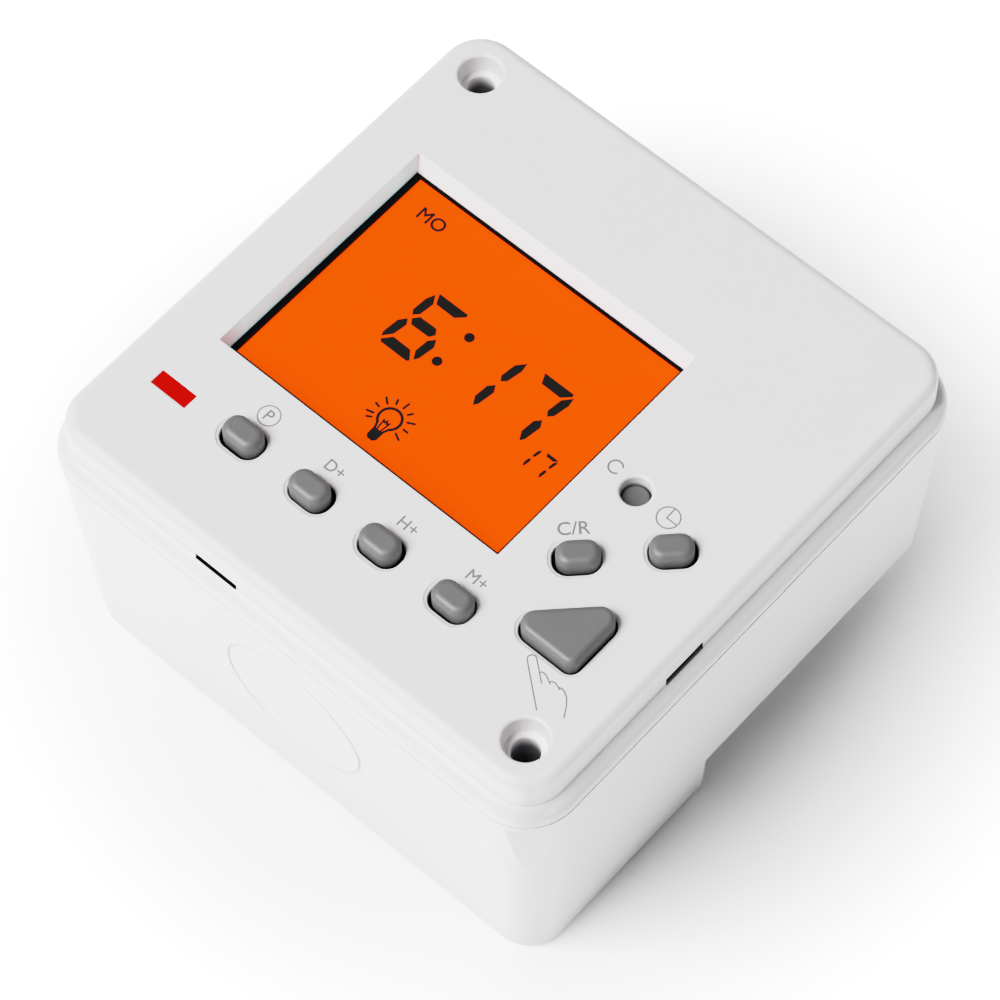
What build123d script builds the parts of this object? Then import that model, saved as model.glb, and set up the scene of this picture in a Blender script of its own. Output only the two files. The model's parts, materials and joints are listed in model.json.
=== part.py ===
from build123d import *
import os
import math

os.makedirs("parts", exist_ok=True)

# Digital timer switch. Millimetres. Origin: centre of the back face.
# +X reads to the right, +Y is the top of the face, +Z comes out of the face.

# ---------------------------------------------------------------- driving sizes
W = 60.0              # outer width and height of the box
HT = 35.0             # depth, back face to cover face
SEAM = 29.4           # parting plane between cover and base
R_OUT = 5.4           # outer corner radius at the seam
SHO_R = 2.1           # rounded shoulder of the cover
SHO_Z = 31.55         # top of the shoulder
PLAT = 57.6           # square plateau of the face
PLAT_R = 4.0          # its corner radius
EDGE_R = 1.25         # rounding of the plateau edge
FOOT_R = 0.3          # small concave radius where plateau meets shoulder
CEIL = 33.0           # inside of the cover face
CAV = 26.8            # half width of the cover cavity
RIM = 27.9            # half width of the rebate that takes the base lip
RIM_Z = 31.0          # top of that rebate

DRAFT = 3.117         # draft of the base sides, degrees
FLOOR = 2.0           # inside of the deep half
STEP_Y = -4.6         # the back is cut back above this line
STEP_Z = 5.5          # by this much
STEP_WALL = 2.0
STEP_FLOOR = 7.4      # inside floor over the cut-back half
BCAV = 26.7           # half width of the base cavity at the seam
BDRAFT = 1.1

HOLE = 24.4           # mounting holes at (-HOLE, HOLE) and (HOLE, -HOLE)
HOLE_R = 1.35
CBORE_R = 2.08
CBORE_D = 2.3
CBORE_EDGE = 0.35     # rounding of the counterbore rim

# window: outer edge on the face, inner edge at the foot of the bevel
WX0, WX1, WY0, WY1 = -22.7, 10.7, -12.6, 14.05
VX0, VX1, VY0, VY1 = -22.38, 10.1, -12.0, 13.33
BEVEL = 1.8

# keys: centre, turn in degrees
KEY_Y = -18.7
KEYS = {
    "program": (-14.05, KEY_Y, 0),
    "day": (-5.75, KEY_Y, 0),
    "hour": (2.55, KEY_Y, 0),
    "minute": (10.85, KEY_Y, 0),
    "recall": (16.1, -8.3, 45),
    "clock": (22.0, -2.3, 45),
}
KEY_W, KEY_H, KEY_R = 4.0, 2.7, 1.22
KEY_TOP = 36.48       # the four keys in the row
KEY_TOP_TURNED = 36.34      # the two turned keys
KEY_EDGE = 0.72       # rounding of the key top
# the caps have play in their holes, and each rests a little to one side
SIT = {
    "program": (0.04, 0.05),
    "day": (-0.12, -0.10),
    "hour": (-0.11, -0.02),
    "minute": (0.10, 0.02),
    "recall": (0.08, 0.08),
    "clock": (-0.08, -0.08),
}
KEY_HOLE_W, KEY_HOLE_H, KEY_HOLE_R = 4.46, 3.24, 1.45
RIM_W, RIM_H, RIM_R = 5.22, 4.02, 1.85      # shallow sunk rim round each key hole
RIM_D = 0.12
HOLE_EDGE = 0.2       # rounding of the hole edge inside that rim
FL_Z0, FL_Z1 = 32.3, 32.9   # retaining flange
FL_W = 0.8            # flange overhang
CLEAR = (15.59, 0.18)       # recessed clear key
CLEAR_R = 1.28
CLEAR_HOLE_R = 1.45
CLEAR_EDGE = 0.3
CLEAR_TOP = 33.8
TRI_GAP = 0.22
TRI_X1, TRI_Y0, TRI_C = 23.3, -17.2, 32.1   # right side, lower side, x - y of the long side
TRI_TOP = 36.5
TRI_SW = (21.0, -14.6)      # switch under the triangle

LED = (-22.2, -19.08)
LED_W, LED_H = 4.15, 1.65

BRD_Z0, BRD_Z1 = 26.4, 28.0      # control board
PWR_Z0, PWR_Z1 = 17.6, 19.2      # power board
BRD = 25.0                        # half width of both boards
SW_H = 3.5                        # tact switch body height
PLUNGER_R = 1.6
SWITCH_AT = [KEYS[k][:2] for k in KEYS] + [CLEAR, TRI_SW]
BOSSES = [(-14.0, 21.0), (19.0, 22.0), (-21.6, -23.4), (17.0, -22.6)]
POSTS = [(-22.5, -22.5), (22.5, 22.5), (22.8, -7.5), (-22.8, 0.0)]

TB_X = [-16.0, -8.0, 0.0, 8.0, 16.0]     # five terminals
TB_HALF = 20.6
TB_Y0, TB_Y1 = 5.5, 20.5
TB_SCREW_Y = 13.6

SLOTS = [                                 # snap slots: centre, along, height
    (-8.1, -PLAT / 2, 4.8, 0.48),         # lower side
    (PLAT / 2, -8.65, 4.8, 0.75),         # right side
    (8.4, PLAT / 2, 4.8, 0.6),            # upper side
    (-PLAT / 2, 8.4, 4.8, 0.6),           # left side
]
SLOT_Z = 31.42
SLOT_FOOT = 31.25     # floor of the slots
SLOT_OUT = 0.09       # how far they run into the shoulder
KO_X, KO_Z, KO_R = 0.6, 16.6, 7.87     # knock-out on the lower side: centre and radius of the disc
KO_GROOVE = 0.36      # width of the ring groove round it
RELIEF_D = 39.65      # flat relief on the screw corners, distance from the axis along the diagonal
RELIEF_Z = 28.3       # its upper end

# ---------------------------------------------------------------- front cover
with BuildPart() as front_cover:
    with BuildSketch(Plane.XY.offset(SEAM)):
        RectangleRounded(W, W, R_OUT)
    extrude(amount=SHO_Z - SEAM)
    fillet(front_cover.faces().sort_by(Axis.Z)[-1].edges(), SHO_R)
    with BuildSketch(Plane.XY.offset(SEAM + 0.5)):
        RectangleRounded(PLAT, PLAT, PLAT_R)
    extrude(amount=HT - SEAM - 0.5)
    fillet(front_cover.faces().sort_by(Axis.Z)[-1].edges(), EDGE_R)
    # cavity and the rebate for the base lip
    with BuildSketch(Plane.XY.offset(SEAM)):
        RectangleRounded(2 * CAV, 2 * CAV, 2.3)
    extrude(amount=CEIL - SEAM, mode=Mode.SUBTRACT)
    with BuildSketch(Plane.XY.offset(SEAM)):
        RectangleRounded(2 * RIM, 2 * RIM, 3.4)
    extrude(amount=RIM_Z - SEAM, mode=Mode.SUBTRACT)
    # columns round the mounting holes
    with BuildSketch(Plane.XY.offset(SEAM)):
        with Locations((-HOLE, HOLE), (HOLE, -HOLE)):
            Circle(3.3)
    extrude(amount=CEIL - SEAM + 0.5)
    # bosses for the control board
    with BuildSketch(Plane.XY.offset(BRD_Z1)):
        with Locations(*BOSSES):
            Circle(2.0)
    extrude(amount=CEIL - BRD_Z1 + 0.5)
    with BuildSketch(Plane.XY.offset(BRD_Z1)):
        with Locations(*BOSSES):
            Circle(1.03)
    extrude(amount=4.4, mode=Mode.SUBTRACT)
    # mounting holes, counterbored from the face
    with BuildSketch(Plane.XY.offset(SEAM)):
        with Locations((-HOLE, HOLE), (HOLE, -HOLE)):
            Circle(HOLE_R)
    extrude(amount=HT - SEAM, mode=Mode.SUBTRACT)
    with BuildSketch(Plane.XY.offset(HT)):
        with Locations((-HOLE, HOLE), (HOLE, -HOLE)):
            Circle(CBORE_R)
    extrude(amount=-CBORE_D, taper=3, mode=Mode.SUBTRACT)
    fillet(front_cover.edges().filter_by(GeomType.CIRCLE).filter_by(
        lambda e: abs(e.center().Z - HT) < 0.001 and abs(e.radius - CBORE_R) < 0.01), CBORE_EDGE)
    fillet(front_cover.edges().filter_by(GeomType.CIRCLE).filter_by(
        lambda e: abs(e.center().Z - HT + CBORE_D) < 0.001 and abs(e.radius - HOLE_R) < 0.01), 0.15)
    # window with its bevel
    with BuildSketch(Plane.XY.offset(HT)):
        with Locations(((WX0 + WX1) / 2, (WY0 + WY1) / 2)):
            Rectangle(WX1 - WX0, WY1 - WY0)
    with BuildSketch(Plane.XY.offset(HT - BEVEL)):
        with Locations(((VX0 + VX1) / 2, (VY0 + VY1) / 2)):
            Rectangle(VX1 - VX0, VY1 - VY0)
    loft(ruled=True, mode=Mode.SUBTRACT)
    with BuildSketch(Plane.XY.offset(CEIL - 0.5)):
        with Locations(((VX0 + VX1) / 2, (VY0 + VY1) / 2)):
            Rectangle(VX1 - VX0, VY1 - VY0)
    extrude(amount=HT - BEVEL - CEIL + 0.5, mode=Mode.SUBTRACT)
    # indicator window opening
    with BuildSketch(Plane.XY.offset(CEIL - 0.5)):
        with Locations(LED):
            Rectangle(LED_W, LED_H)
    extrude(amount=HT - CEIL + 1.0, mode=Mode.SUBTRACT)
    # sunk rims round the keys
    for kx, ky, ka in KEYS.values():
        with BuildSketch(Plane.XY.offset(HT)):
            with Locations(Location((kx, ky, 0), (0, 0, ka))):
                RectangleRounded(RIM_W, RIM_H, RIM_R)
        extrude(amount=-RIM_D, taper=45, mode=Mode.SUBTRACT)
    with BuildSketch(Plane.XY.offset(HT)) as tri_rim:
        with BuildLine():
            Polyline((TRI_X1, TRI_Y0), (TRI_X1, TRI_X1 - TRI_C), (TRI_C + TRI_Y0, TRI_Y0), close=True)
        make_face()
        fillet(tri_rim.vertices().group_by(Axis.X)[0], 1.3)
        fillet(tri_rim.vertices().sort_by(Axis.Y)[-1:], 1.3)
        fillet(tri_rim.vertices().filter_by(lambda v: v.X > TRI_X1 - 0.01 and v.Y < TRI_Y0 + 0.01), 0.9)
        offset(amount=TRI_GAP + 0.36)
    extrude(amount=-RIM_D, taper=45, mode=Mode.SUBTRACT)
    # key holes with a rounded edge
    for kx, ky, ka in KEYS.values():
        with BuildSketch(Plane.XY.offset(CEIL - 0.5)) as key_hole:
            with Locations(Location((kx, ky, 0), (0, 0, ka))):
                RectangleRounded(KEY_HOLE_W, KEY_HOLE_H, KEY_HOLE_R)
        extrude(amount=HT - CEIL + 1.0, mode=Mode.SUBTRACT)
        top_edges = front_cover.edges(Select.LAST).filter_by_position(
            Axis.Z, HT - RIM_D - 0.001, HT - RIM_D + 0.001)
        fillet(top_edges, HOLE_EDGE)
    with BuildSketch(Plane.XY.offset(CEIL - 0.5)):
        with Locations(CLEAR):
            Circle(CLEAR_HOLE_R)
    extrude(amount=HT - CEIL + 1.0, mode=Mode.SUBTRACT)
    top_edges = front_cover.edges(Select.LAST).filter_by_position(Axis.Z, HT - 0.001, HT + 0.001)
    fillet(top_edges, CLEAR_EDGE)
    with BuildSketch(Plane.XY.offset(CEIL - 0.5)) as tri_hole:
        with BuildLine():
            Polyline((TRI_X1, TRI_Y0), (TRI_X1, TRI_X1 - TRI_C), (TRI_C + TRI_Y0, TRI_Y0), close=True)
        make_face()
        fillet(tri_hole.vertices().group_by(Axis.X)[0], 1.3)
        fillet(tri_hole.vertices().sort_by(Axis.Y)[-1:], 1.3)
        fillet(tri_hole.vertices().filter_by(lambda v: v.X > TRI_X1 - 0.01 and v.Y < TRI_Y0 + 0.01), 0.9)
        offset(amount=TRI_GAP)
    extrude(amount=HT - CEIL + 1.0, mode=Mode.SUBTRACT)
    top_edges = front_cover.edges(Select.LAST).filter_by_position(Axis.Z, HT - RIM_D - 0.001, HT - RIM_D + 0.001)
    fillet(top_edges, HOLE_EDGE)
    # snap slots at the foot of the plateau wall, running a little into the shoulder
    for sx, sy, sl, sh in SLOTS:
        deep = PLAT / 2 + SLOT_OUT - 26.3
        mid = (PLAT / 2 + SLOT_OUT + 26.3) / 2
        with BuildSketch(Plane.XY.offset(SLOT_FOOT)):
            if abs(sy) > PLAT / 2 - 0.1:
                with Locations((sx, math.copysign(mid, sy))):
                    Rectangle(sl, deep)
            else:
                with Locations((math.copysign(mid, sx), sy)):
                    Rectangle(deep, sl)
        extrude(amount=SLOT_Z + sh - SLOT_FOOT, mode=Mode.SUBTRACT)
front_cover.part.label = "front_cover"
export_step(front_cover.part, "parts/front_cover.step")

# ---------------------------------------------------------------- base box
with BuildPart() as base_box:
    with BuildSketch(Plane.XY.offset(SEAM)):
        RectangleRounded(W, W, R_OUT)
    extrude(amount=-SEAM, taper=DRAFT)
    # upper half of the back is cut back
    with BuildSketch(Plane.XY.offset(STEP_Z)):
        with Locations((0, STEP_Y + 25)):
            Rectangle(80, 50)
    extrude(amount=-STEP_Z - 5, mode=Mode.SUBTRACT)
    # soft outer edges at the back
    back_edges = base_box.edges().filter_by_position(Axis.Z, -0.001, 0.001)
    step_edges = base_box.edges().filter_by_position(Axis.Z, STEP_Z - 0.001, STEP_Z + 0.001).filter_by(
        lambda e: e.center().Y > STEP_Y + 0.5)
    fillet(back_edges + step_edges, 0.7)
    # cavity, full plan down to the upper floor, then the deep half
    with BuildSketch(Plane.XY.offset(SEAM)):
        RectangleRounded(2 * BCAV, 2 * BCAV, 2.6)
    extrude(amount=-(SEAM - STEP_FLOOR), taper=BDRAFT, mode=Mode.SUBTRACT)
    half = BCAV - (SEAM - STEP_FLOOR) * math.tan(math.radians(BDRAFT))
    with BuildSketch(Plane.XY.offset(STEP_FLOOR + 0.1)):
        with Locations((0, (STEP_Y - STEP_WALL - half) / 2)):
            RectangleRounded(2 * half, half + STEP_Y - STEP_WALL, 1.4)
    extrude(amount=-(STEP_FLOOR - FLOOR + 0.1), taper=BDRAFT, mode=Mode.SUBTRACT)
    # lip that locates the cover
    with BuildSketch(Plane.XY.offset(SEAM - 0.4)):
        RectangleRounded(2 * RIM - 0.3, 2 * RIM - 0.3, 3.25)
        RectangleRounded(2 * BCAV, 2 * BCAV, 2.6, mode=Mode.SUBTRACT)
        with Locations((-HOLE, HOLE), (HOLE, -HOLE)):
            Circle(3.6, mode=Mode.SUBTRACT)
    extrude(amount=1.8)
    # columns under the mounting holes
    with BuildSketch(Plane.XY.offset(STEP_Z)):
        with Locations((-HOLE, HOLE)):
            Circle(3.6)
    extrude(amount=SEAM - STEP_Z)
    with BuildSketch(Plane.XY.offset(1.0)):
        with Locations((HOLE, -HOLE)):
            Circle(3.6)
    extrude(amount=SEAM - 1.0)
    with BuildSketch(Plane.XY.offset(-1)):
        with Locations((-HOLE, HOLE), (HOLE, -HOLE)):
            Circle(HOLE_R)
    extrude(amount=SEAM + 2, mode=Mode.SUBTRACT)
    # posts for the power board
    for px, py in POSTS:
        z0 = FLOOR - 0.5 if py < STEP_Y - STEP_WALL else STEP_FLOOR - 0.5
        with BuildSketch(Plane.XY.offset(z0)):
            with Locations((px, py)):
                Circle(2.5)
        extrude(amount=PWR_Z0 - z0)
    with BuildSketch(Plane.XY.offset(PWR_Z0)):
        with Locations(*POSTS):
            Circle(1.03)
    extrude(amount=-7, mode=Mode.SUBTRACT)
    # window for the terminal block
    with BuildSketch(Plane.XY.offset(STEP_Z - 1)):
        with Locations((0, (TB_Y0 + TB_Y1) / 2)):
            Rectangle(2 * TB_HALF + 0.3, TB_Y1 - TB_Y0 + 0.3)
    extrude(amount=4, mode=Mode.SUBTRACT)
    # snap tongues with their noses
    for sx, sy, sl, sh in SLOTS:
        if abs(sy) > PLAT / 2 - 0.1:
            s = 1 if sy > 0 else -1
            with BuildSketch(Plane.XY.offset(24.0)):
                with Locations((sx, s * 26.1)):
                    Rectangle(4.2, 1.2)
            extrude(amount=32.8 - 24.0)
            with BuildSketch(Plane.XY.offset(SLOT_Z + 0.1)):
                with Locations((sx, s * 27.2)):
                    Rectangle(4.2, 1.2)
            extrude(amount=sh - 0.2)
        else:
            s = 1 if sx > 0 else -1
            with BuildSketch(Plane.XY.offset(24.0)):
                with Locations((s * 26.1, sy)):
                    Rectangle(1.2, 4.2)
            extrude(amount=32.8 - 24.0)
            with BuildSketch(Plane.XY.offset(SLOT_Z + 0.1)):
                with Locations((s * 27.2, sy)):
                    Rectangle(1.2, 4.2)
            extrude(amount=sh - 0.2)
    # shadow groove under the seam
    with BuildSketch(Plane.XY.offset(SEAM - 0.3)):
        RectangleRounded(W + 4, W + 4, R_OUT + 2)
        RectangleRounded(W - 1.5, W - 1.5, R_OUT - 0.75, mode=Mode.SUBTRACT)
    extrude(amount=0.3, mode=Mode.SUBTRACT)
    # knock-out ring on the lower side, cut along the drafted face
    ko_plane = Plane(origin=(KO_X, -W / 2 + (SEAM - KO_Z) * math.tan(math.radians(DRAFT)), KO_Z),
                     x_dir=(1, 0, 0), z_dir=(0, -math.cos(math.radians(DRAFT)), -math.sin(math.radians(DRAFT))))
    with BuildSketch(ko_plane):
        Circle(KO_R + KO_GROOVE)
        Circle(KO_R, mode=Mode.SUBTRACT)
    extrude(amount=-0.18, mode=Mode.SUBTRACT)
    # flat reliefs down the two screw corners, fading out as the sides draw in
    for sx, sy, turn in ((1, -1, -45), (-1, 1, 135)):
        d = (RELIEF_D + 5.0) / math.sqrt(2)
        with BuildSketch(Plane.XY.offset(8.0)):
            with Locations(Location((sx * d, sy * d, 0), (0, 0, turn))):
                Rectangle(10.0, 16.0)
        extrude(amount=RELIEF_Z - 8.0, mode=Mode.SUBTRACT)
base_box.part.label = "base_box"
export_step(base_box.part, "parts/base_box.step")

# ---------------------------------------------------------------- indicator window
with BuildPart() as indicator_window:
    with BuildSketch(Plane.XY.offset(CEIL - 0.6)):
        with Locations(LED):
            Rectangle(LED_W + 1.2, LED_H + 1.2)
    extrude(amount=0.6)
    with BuildSketch(Plane.XY.offset(CEIL)):
        with Locations(LED):
            Rectangle(LED_W - 0.04, LED_H - 0.04)
    extrude(amount=HT - CEIL)
indicator_window.part.label = "indicator_window"
export_step(indicator_window.part, "parts/indicator_window.step")

# ---------------------------------------------------------------- display stack
FX0, FX1, FY0, FY1 = -24.6, 12.3, -14.4, 15.9      # frame outside
GX0, GX1, GY0, GY1 = -23.6, 11.3, -13.4, 14.9      # front glass
SX0, SX1, SY0, SY1 = -21.79, 9.78, -11.62, 13.11   # lit field
with BuildPart() as lcd_frame:
    with BuildSketch(Plane.XY.offset(BRD_Z1)):
        with Locations(((FX0 + FX1) / 2, (FY0 + FY1) / 2)):
            RectangleRounded(FX1 - FX0, FY1 - FY0, 0.8)
    extrude(amount=CEIL - 0.1 - BRD_Z1)
    with BuildSketch(Plane.XY.offset(BRD_Z1)):
        with Locations(((GX0 + GX1) / 2, (GY0 + GY1) / 2)):
            Rectangle(GX1 - GX0 + 0.2, GY1 - GY0 + 0.2)
    extrude(amount=32.6 - BRD_Z1, mode=Mode.SUBTRACT)
    # opening that shows as the dark border of the display
    with BuildSketch(Plane.XY.offset(32.0)):
        with Locations(((SX0 + SX1) / 2, (SY0 + SY1) / 2)):
            Rectangle(SX1 - SX0, SY1 - SY0)
    extrude(amount=2, mode=Mode.SUBTRACT)
    # locating pegs
    with BuildSketch(Plane.XY.offset(BRD_Z0)):
        with Locations((-24.1, -13.9), (11.85, -13.9), (-24.1, 15.4), (11.85, 15.4)):
            Circle(0.4)
    extrude(amount=BRD_Z1 - BRD_Z0)
lcd_frame.part.label = "lcd_frame"
export_step(lcd_frame.part, "parts/lcd_frame.step")

with BuildPart() as front_polariser:
    with BuildSketch(Plane.XY.offset(32.4)):
        with Locations((-6.1, 0.4)):
            Rectangle(34.2, 27.6)
    extrude(amount=0.2)
front_polariser.part.label = "front_polariser"
export_step(front_polariser.part, "parts/front_polariser.step")

with BuildPart() as lcd_front_glass:
    with BuildSketch(Plane.XY.offset(31.4)):
        with Locations(((GX0 + GX1) / 2, (GY0 + GY1) / 2)):
            Rectangle(GX1 - GX0, GY1 - GY0)
    extrude(amount=1.0)
lcd_front_glass.part.label = "lcd_front_glass"
export_step(lcd_front_glass.part, "parts/lcd_front_glass.step")

with BuildPart() as lcd_rear_glass:
    with BuildSketch(Plane.XY.offset(30.4)):
        with Locations(((GX0 + GX1) / 2, (GY0 + 13.3) / 2)):
            Rectangle(GX1 - GX0, 13.3 - GY0)
    extrude(amount=1.0)
lcd_rear_glass.part.label = "lcd_rear_glass"
export_step(lcd_rear_glass.part, "parts/lcd_rear_glass.step")

with BuildPart() as rear_polariser:
    with BuildSketch(Plane.XY.offset(30.2)):
        with Locations((-6.15, 0.0)):
            Rectangle(33.6, 26.0)
    extrude(amount=0.2)
rear_polariser.part.label = "rear_polariser"
export_step(rear_polariser.part, "parts/rear_polariser.step")

with BuildPart() as light_guide:
    with BuildSketch(Plane.XY.offset(BRD_Z1)):
        with Locations((-6.9, 0.05)):
            Rectangle(32.6, 26.3)
    extrude(amount=30.2 - BRD_Z1)
light_guide.part.label = "light_guide"
export_step(light_guide.part, "parts/light_guide.step")

with BuildPart() as backlight_leds:
    with BuildSketch(Plane.XY.offset(BRD_Z1)):
        with Locations((10.2, -6.0), (10.2, 6.0)):
            Rectangle(1.1, 3.0)
    extrude(amount=1.4)
backlight_leds.part.label = "backlight_leds"
export_step(backlight_leds.part, "parts/backlight_leds.step")

with BuildPart() as elastomer_connector:
    with BuildSketch(Plane.XY.offset(BRD_Z1)):
        with Locations((-6.0, 14.15)):
            Rectangle(31.0, 1.2)
    extrude(amount=31.4 - BRD_Z1)
elastomer_connector.part.label = "elastomer_connector"
export_step(elastomer_connector.part, "parts/elastomer_connector.step")

# ---------------------------------------------------------------- control board
HDR_X, HDR_Y = 21.0, 10.0
HDR_Y_LIST = [HDR_Y + (i - 2.5) * 2.54 for i in range(6)]
SW_LEGS = [(dx, dy) for dx in (-3.25, 3.25) for dy in (-2.25, 2.25)]
with BuildPart() as control_board:
    with BuildSketch(Plane.XY.offset(BRD_Z0)):
        RectangleRounded(2 * BRD, 2 * BRD, 1.5)
        with Locations((-HOLE, HOLE), (HOLE, -HOLE)):
            Circle(4.3, mode=Mode.SUBTRACT)
        with Locations(*BOSSES):
            Circle(1.1, mode=Mode.SUBTRACT)
        with Locations((-24.1, -13.9), (11.85, -13.9), (-24.1, 15.4), (11.85, 15.4)):
            Circle(0.45, mode=Mode.SUBTRACT)
        with Locations(*[(HDR_X, y) for y in HDR_Y_LIST]):
            Circle(0.55, mode=Mode.SUBTRACT)
        with Locations((LED[0] - 1.27, LED[1]), (LED[0] + 1.27, LED[1])):
            Circle(0.4, mode=Mode.SUBTRACT)
    extrude(amount=BRD_Z1 - BRD_Z0)
control_board.part.label = "control_board"
export_step(control_board.part, "parts/control_board.step")

with BuildPart() as control_board_screws:
    with BuildSketch(Plane.XY.offset(BRD_Z0)):
        with Locations(*BOSSES):
            Circle(1.8)
    extrude(amount=-1.3)
    fillet(control_board_screws.faces().group_by(Axis.Z)[0].edges(), 0.5)
    with BuildSketch(Plane.XY.offset(BRD_Z0)):
        with Locations(*BOSSES):
            Circle(1.0)
    extrude(amount=5.6)
    with BuildSketch(Plane.XY.offset(BRD_Z0 - 1.3)):
        with Locations(*BOSSES):
            Rectangle(1.9, 0.42)
            Rectangle(0.42, 1.9)
    extrude(amount=0.75, mode=Mode.SUBTRACT)
control_board_screws.part.label = "control_board_screws"
export_step(control_board_screws.part, "parts/control_board_screws.step")

# tact switches: body with a hollow for dome and plunger, four bent legs each
with BuildPart() as tact_switch_bodies:
    with BuildSketch(Plane.XY.offset(BRD_Z1)):
        with Locations(*SWITCH_AT):
            RectangleRounded(6.0, 6.0, 0.4)
    extrude(amount=SW_H)
    with BuildSketch(Plane.XY.offset(BRD_Z1 + 0.8)):
        with Locations(*SWITCH_AT):
            Circle(2.35)
    extrude(amount=SW_H - 0.8 - 0.5, mode=Mode.SUBTRACT)
    with BuildSketch(Plane.XY.offset(BRD_Z1 + 2.0)):
        with Locations(*SWITCH_AT):
            Circle(PLUNGER_R + 0.12)
    extrude(amount=SW_H, mode=Mode.SUBTRACT)
tact_switch_bodies.part.label = "tact_switch_bodies"
export_step(tact_switch_bodies.part, "parts/tact_switch_bodies.step")

with BuildPart() as snap_domes:
    with BuildSketch(Plane.XZ) as dome_profile:
        with BuildLine():
            Polyline((0, 29.32), (0.9, 29.26), (1.6, 29.08), (2.1, 28.86), (2.2, 28.8), (2.2, 28.92),
                     (1.66, 29.18), (0.93, 29.36), (0, 29.42), close=True)
        make_face()
    revolve(axis=Axis.Z)
    dome = snap_domes.part
with BuildPart() as snap_dome_group:
    for kx, ky in SWITCH_AT:
        with Locations((kx, ky, 0)):
            add(dome)
snap_dome_group.part.label = "snap_domes"
export_step(snap_dome_group.part, "parts/snap_domes.step")

# ---------------------------------------------------------------- keys
# six pill keys share one shape; each has a retaining flange under the cover
with BuildPart() as key_program:
    kx, ky, ka = KEYS["program"]
    kx, ky = kx + SIT["program"][0], ky + SIT["program"][1]
    with BuildSketch(Plane.XY.offset(FL_Z0)):
        with Locations(Location((kx, ky, 0), (0, 0, ka))):
            RectangleRounded(KEY_W + 2 * FL_W, KEY_H + 2 * FL_W, KEY_R + FL_W)
    extrude(amount=FL_Z1 - FL_Z0)
    with BuildSketch(Plane.XY.offset(FL_Z0)):
        with Locations(Location((kx, ky, 0), (0, 0, ka))):
            RectangleRounded(KEY_W, KEY_H, KEY_R)
    extrude(amount=KEY_TOP - FL_Z0)
    fillet(key_program.faces().sort_by(Axis.Z)[-1].edges(), KEY_EDGE)
key_program.part.label = "key_program"
export_step(key_program.part, "parts/key_program.step")

with BuildPart() as key_day:
    kx, ky, ka = KEYS["day"]
    kx, ky = kx + SIT["day"][0], ky + SIT["day"][1]
    with BuildSketch(Plane.XY.offset(FL_Z0)):
        with Locations(Location((kx, ky, 0), (0, 0, ka))):
            RectangleRounded(KEY_W + 2 * FL_W, KEY_H + 2 * FL_W, KEY_R + FL_W)
    extrude(amount=FL_Z1 - FL_Z0)
    with BuildSketch(Plane.XY.offset(FL_Z0)):
        with Locations(Location((kx, ky, 0), (0, 0, ka))):
            RectangleRounded(KEY_W, KEY_H, KEY_R)
    extrude(amount=KEY_TOP - FL_Z0)
    fillet(key_day.faces().sort_by(Axis.Z)[-1].edges(), KEY_EDGE)
key_day.part.label = "key_day"
export_step(key_day.part, "parts/key_day.step")

with BuildPart() as key_hour:
    kx, ky, ka = KEYS["hour"]
    kx, ky = kx + SIT["hour"][0], ky + SIT["hour"][1]
    with BuildSketch(Plane.XY.offset(FL_Z0)):
        with Locations(Location((kx, ky, 0), (0, 0, ka))):
            RectangleRounded(KEY_W + 2 * FL_W, KEY_H + 2 * FL_W, KEY_R + FL_W)
    extrude(amount=FL_Z1 - FL_Z0)
    with BuildSketch(Plane.XY.offset(FL_Z0)):
        with Locations(Location((kx, ky, 0), (0, 0, ka))):
            RectangleRounded(KEY_W, KEY_H, KEY_R)
    extrude(amount=KEY_TOP - FL_Z0)
    fillet(key_hour.faces().sort_by(Axis.Z)[-1].edges(), KEY_EDGE)
key_hour.part.label = "key_hour"
export_step(key_hour.part, "parts/key_hour.step")

with BuildPart() as key_minute:
    kx, ky, ka = KEYS["minute"]
    kx, ky = kx + SIT["minute"][0], ky + SIT["minute"][1]
    with BuildSketch(Plane.XY.offset(FL_Z0)):
        with Locations(Location((kx, ky, 0), (0, 0, ka))):
            RectangleRounded(KEY_W + 2 * FL_W, KEY_H + 2 * FL_W, KEY_R + FL_W)
    extrude(amount=FL_Z1 - FL_Z0)
    with BuildSketch(Plane.XY.offset(FL_Z0)):
        with Locations(Location((kx, ky, 0), (0, 0, ka))):
            RectangleRounded(KEY_W, KEY_H, KEY_R)
    extrude(amount=KEY_TOP - FL_Z0)
    fillet(key_minute.faces().sort_by(Axis.Z)[-1].edges(), KEY_EDGE)
key_minute.part.label = "key_minute"
export_step(key_minute.part, "parts/key_minute.step")

with BuildPart() as key_recall:
    kx, ky, ka = KEYS["recall"]
    kx, ky = kx + SIT["recall"][0], ky + SIT["recall"][1]
    with BuildSketch(Plane.XY.offset(FL_Z0)):
        with Locations(Location((kx, ky, 0), (0, 0, ka))):
            RectangleRounded(KEY_W + 2 * FL_W, KEY_H + 2 * FL_W, KEY_R + FL_W)
    extrude(amount=FL_Z1 - FL_Z0)
    with BuildSketch(Plane.XY.offset(FL_Z0)):
        with Locations(Location((kx, ky, 0), (0, 0, ka))):
            RectangleRounded(KEY_W, KEY_H, KEY_R)
    extrude(amount=KEY_TOP_TURNED - FL_Z0)
    fillet(key_recall.faces().sort_by(Axis.Z)[-1].edges(), KEY_EDGE)
key_recall.part.label = "key_recall"
export_step(key_recall.part, "parts/key_recall.step")

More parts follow.
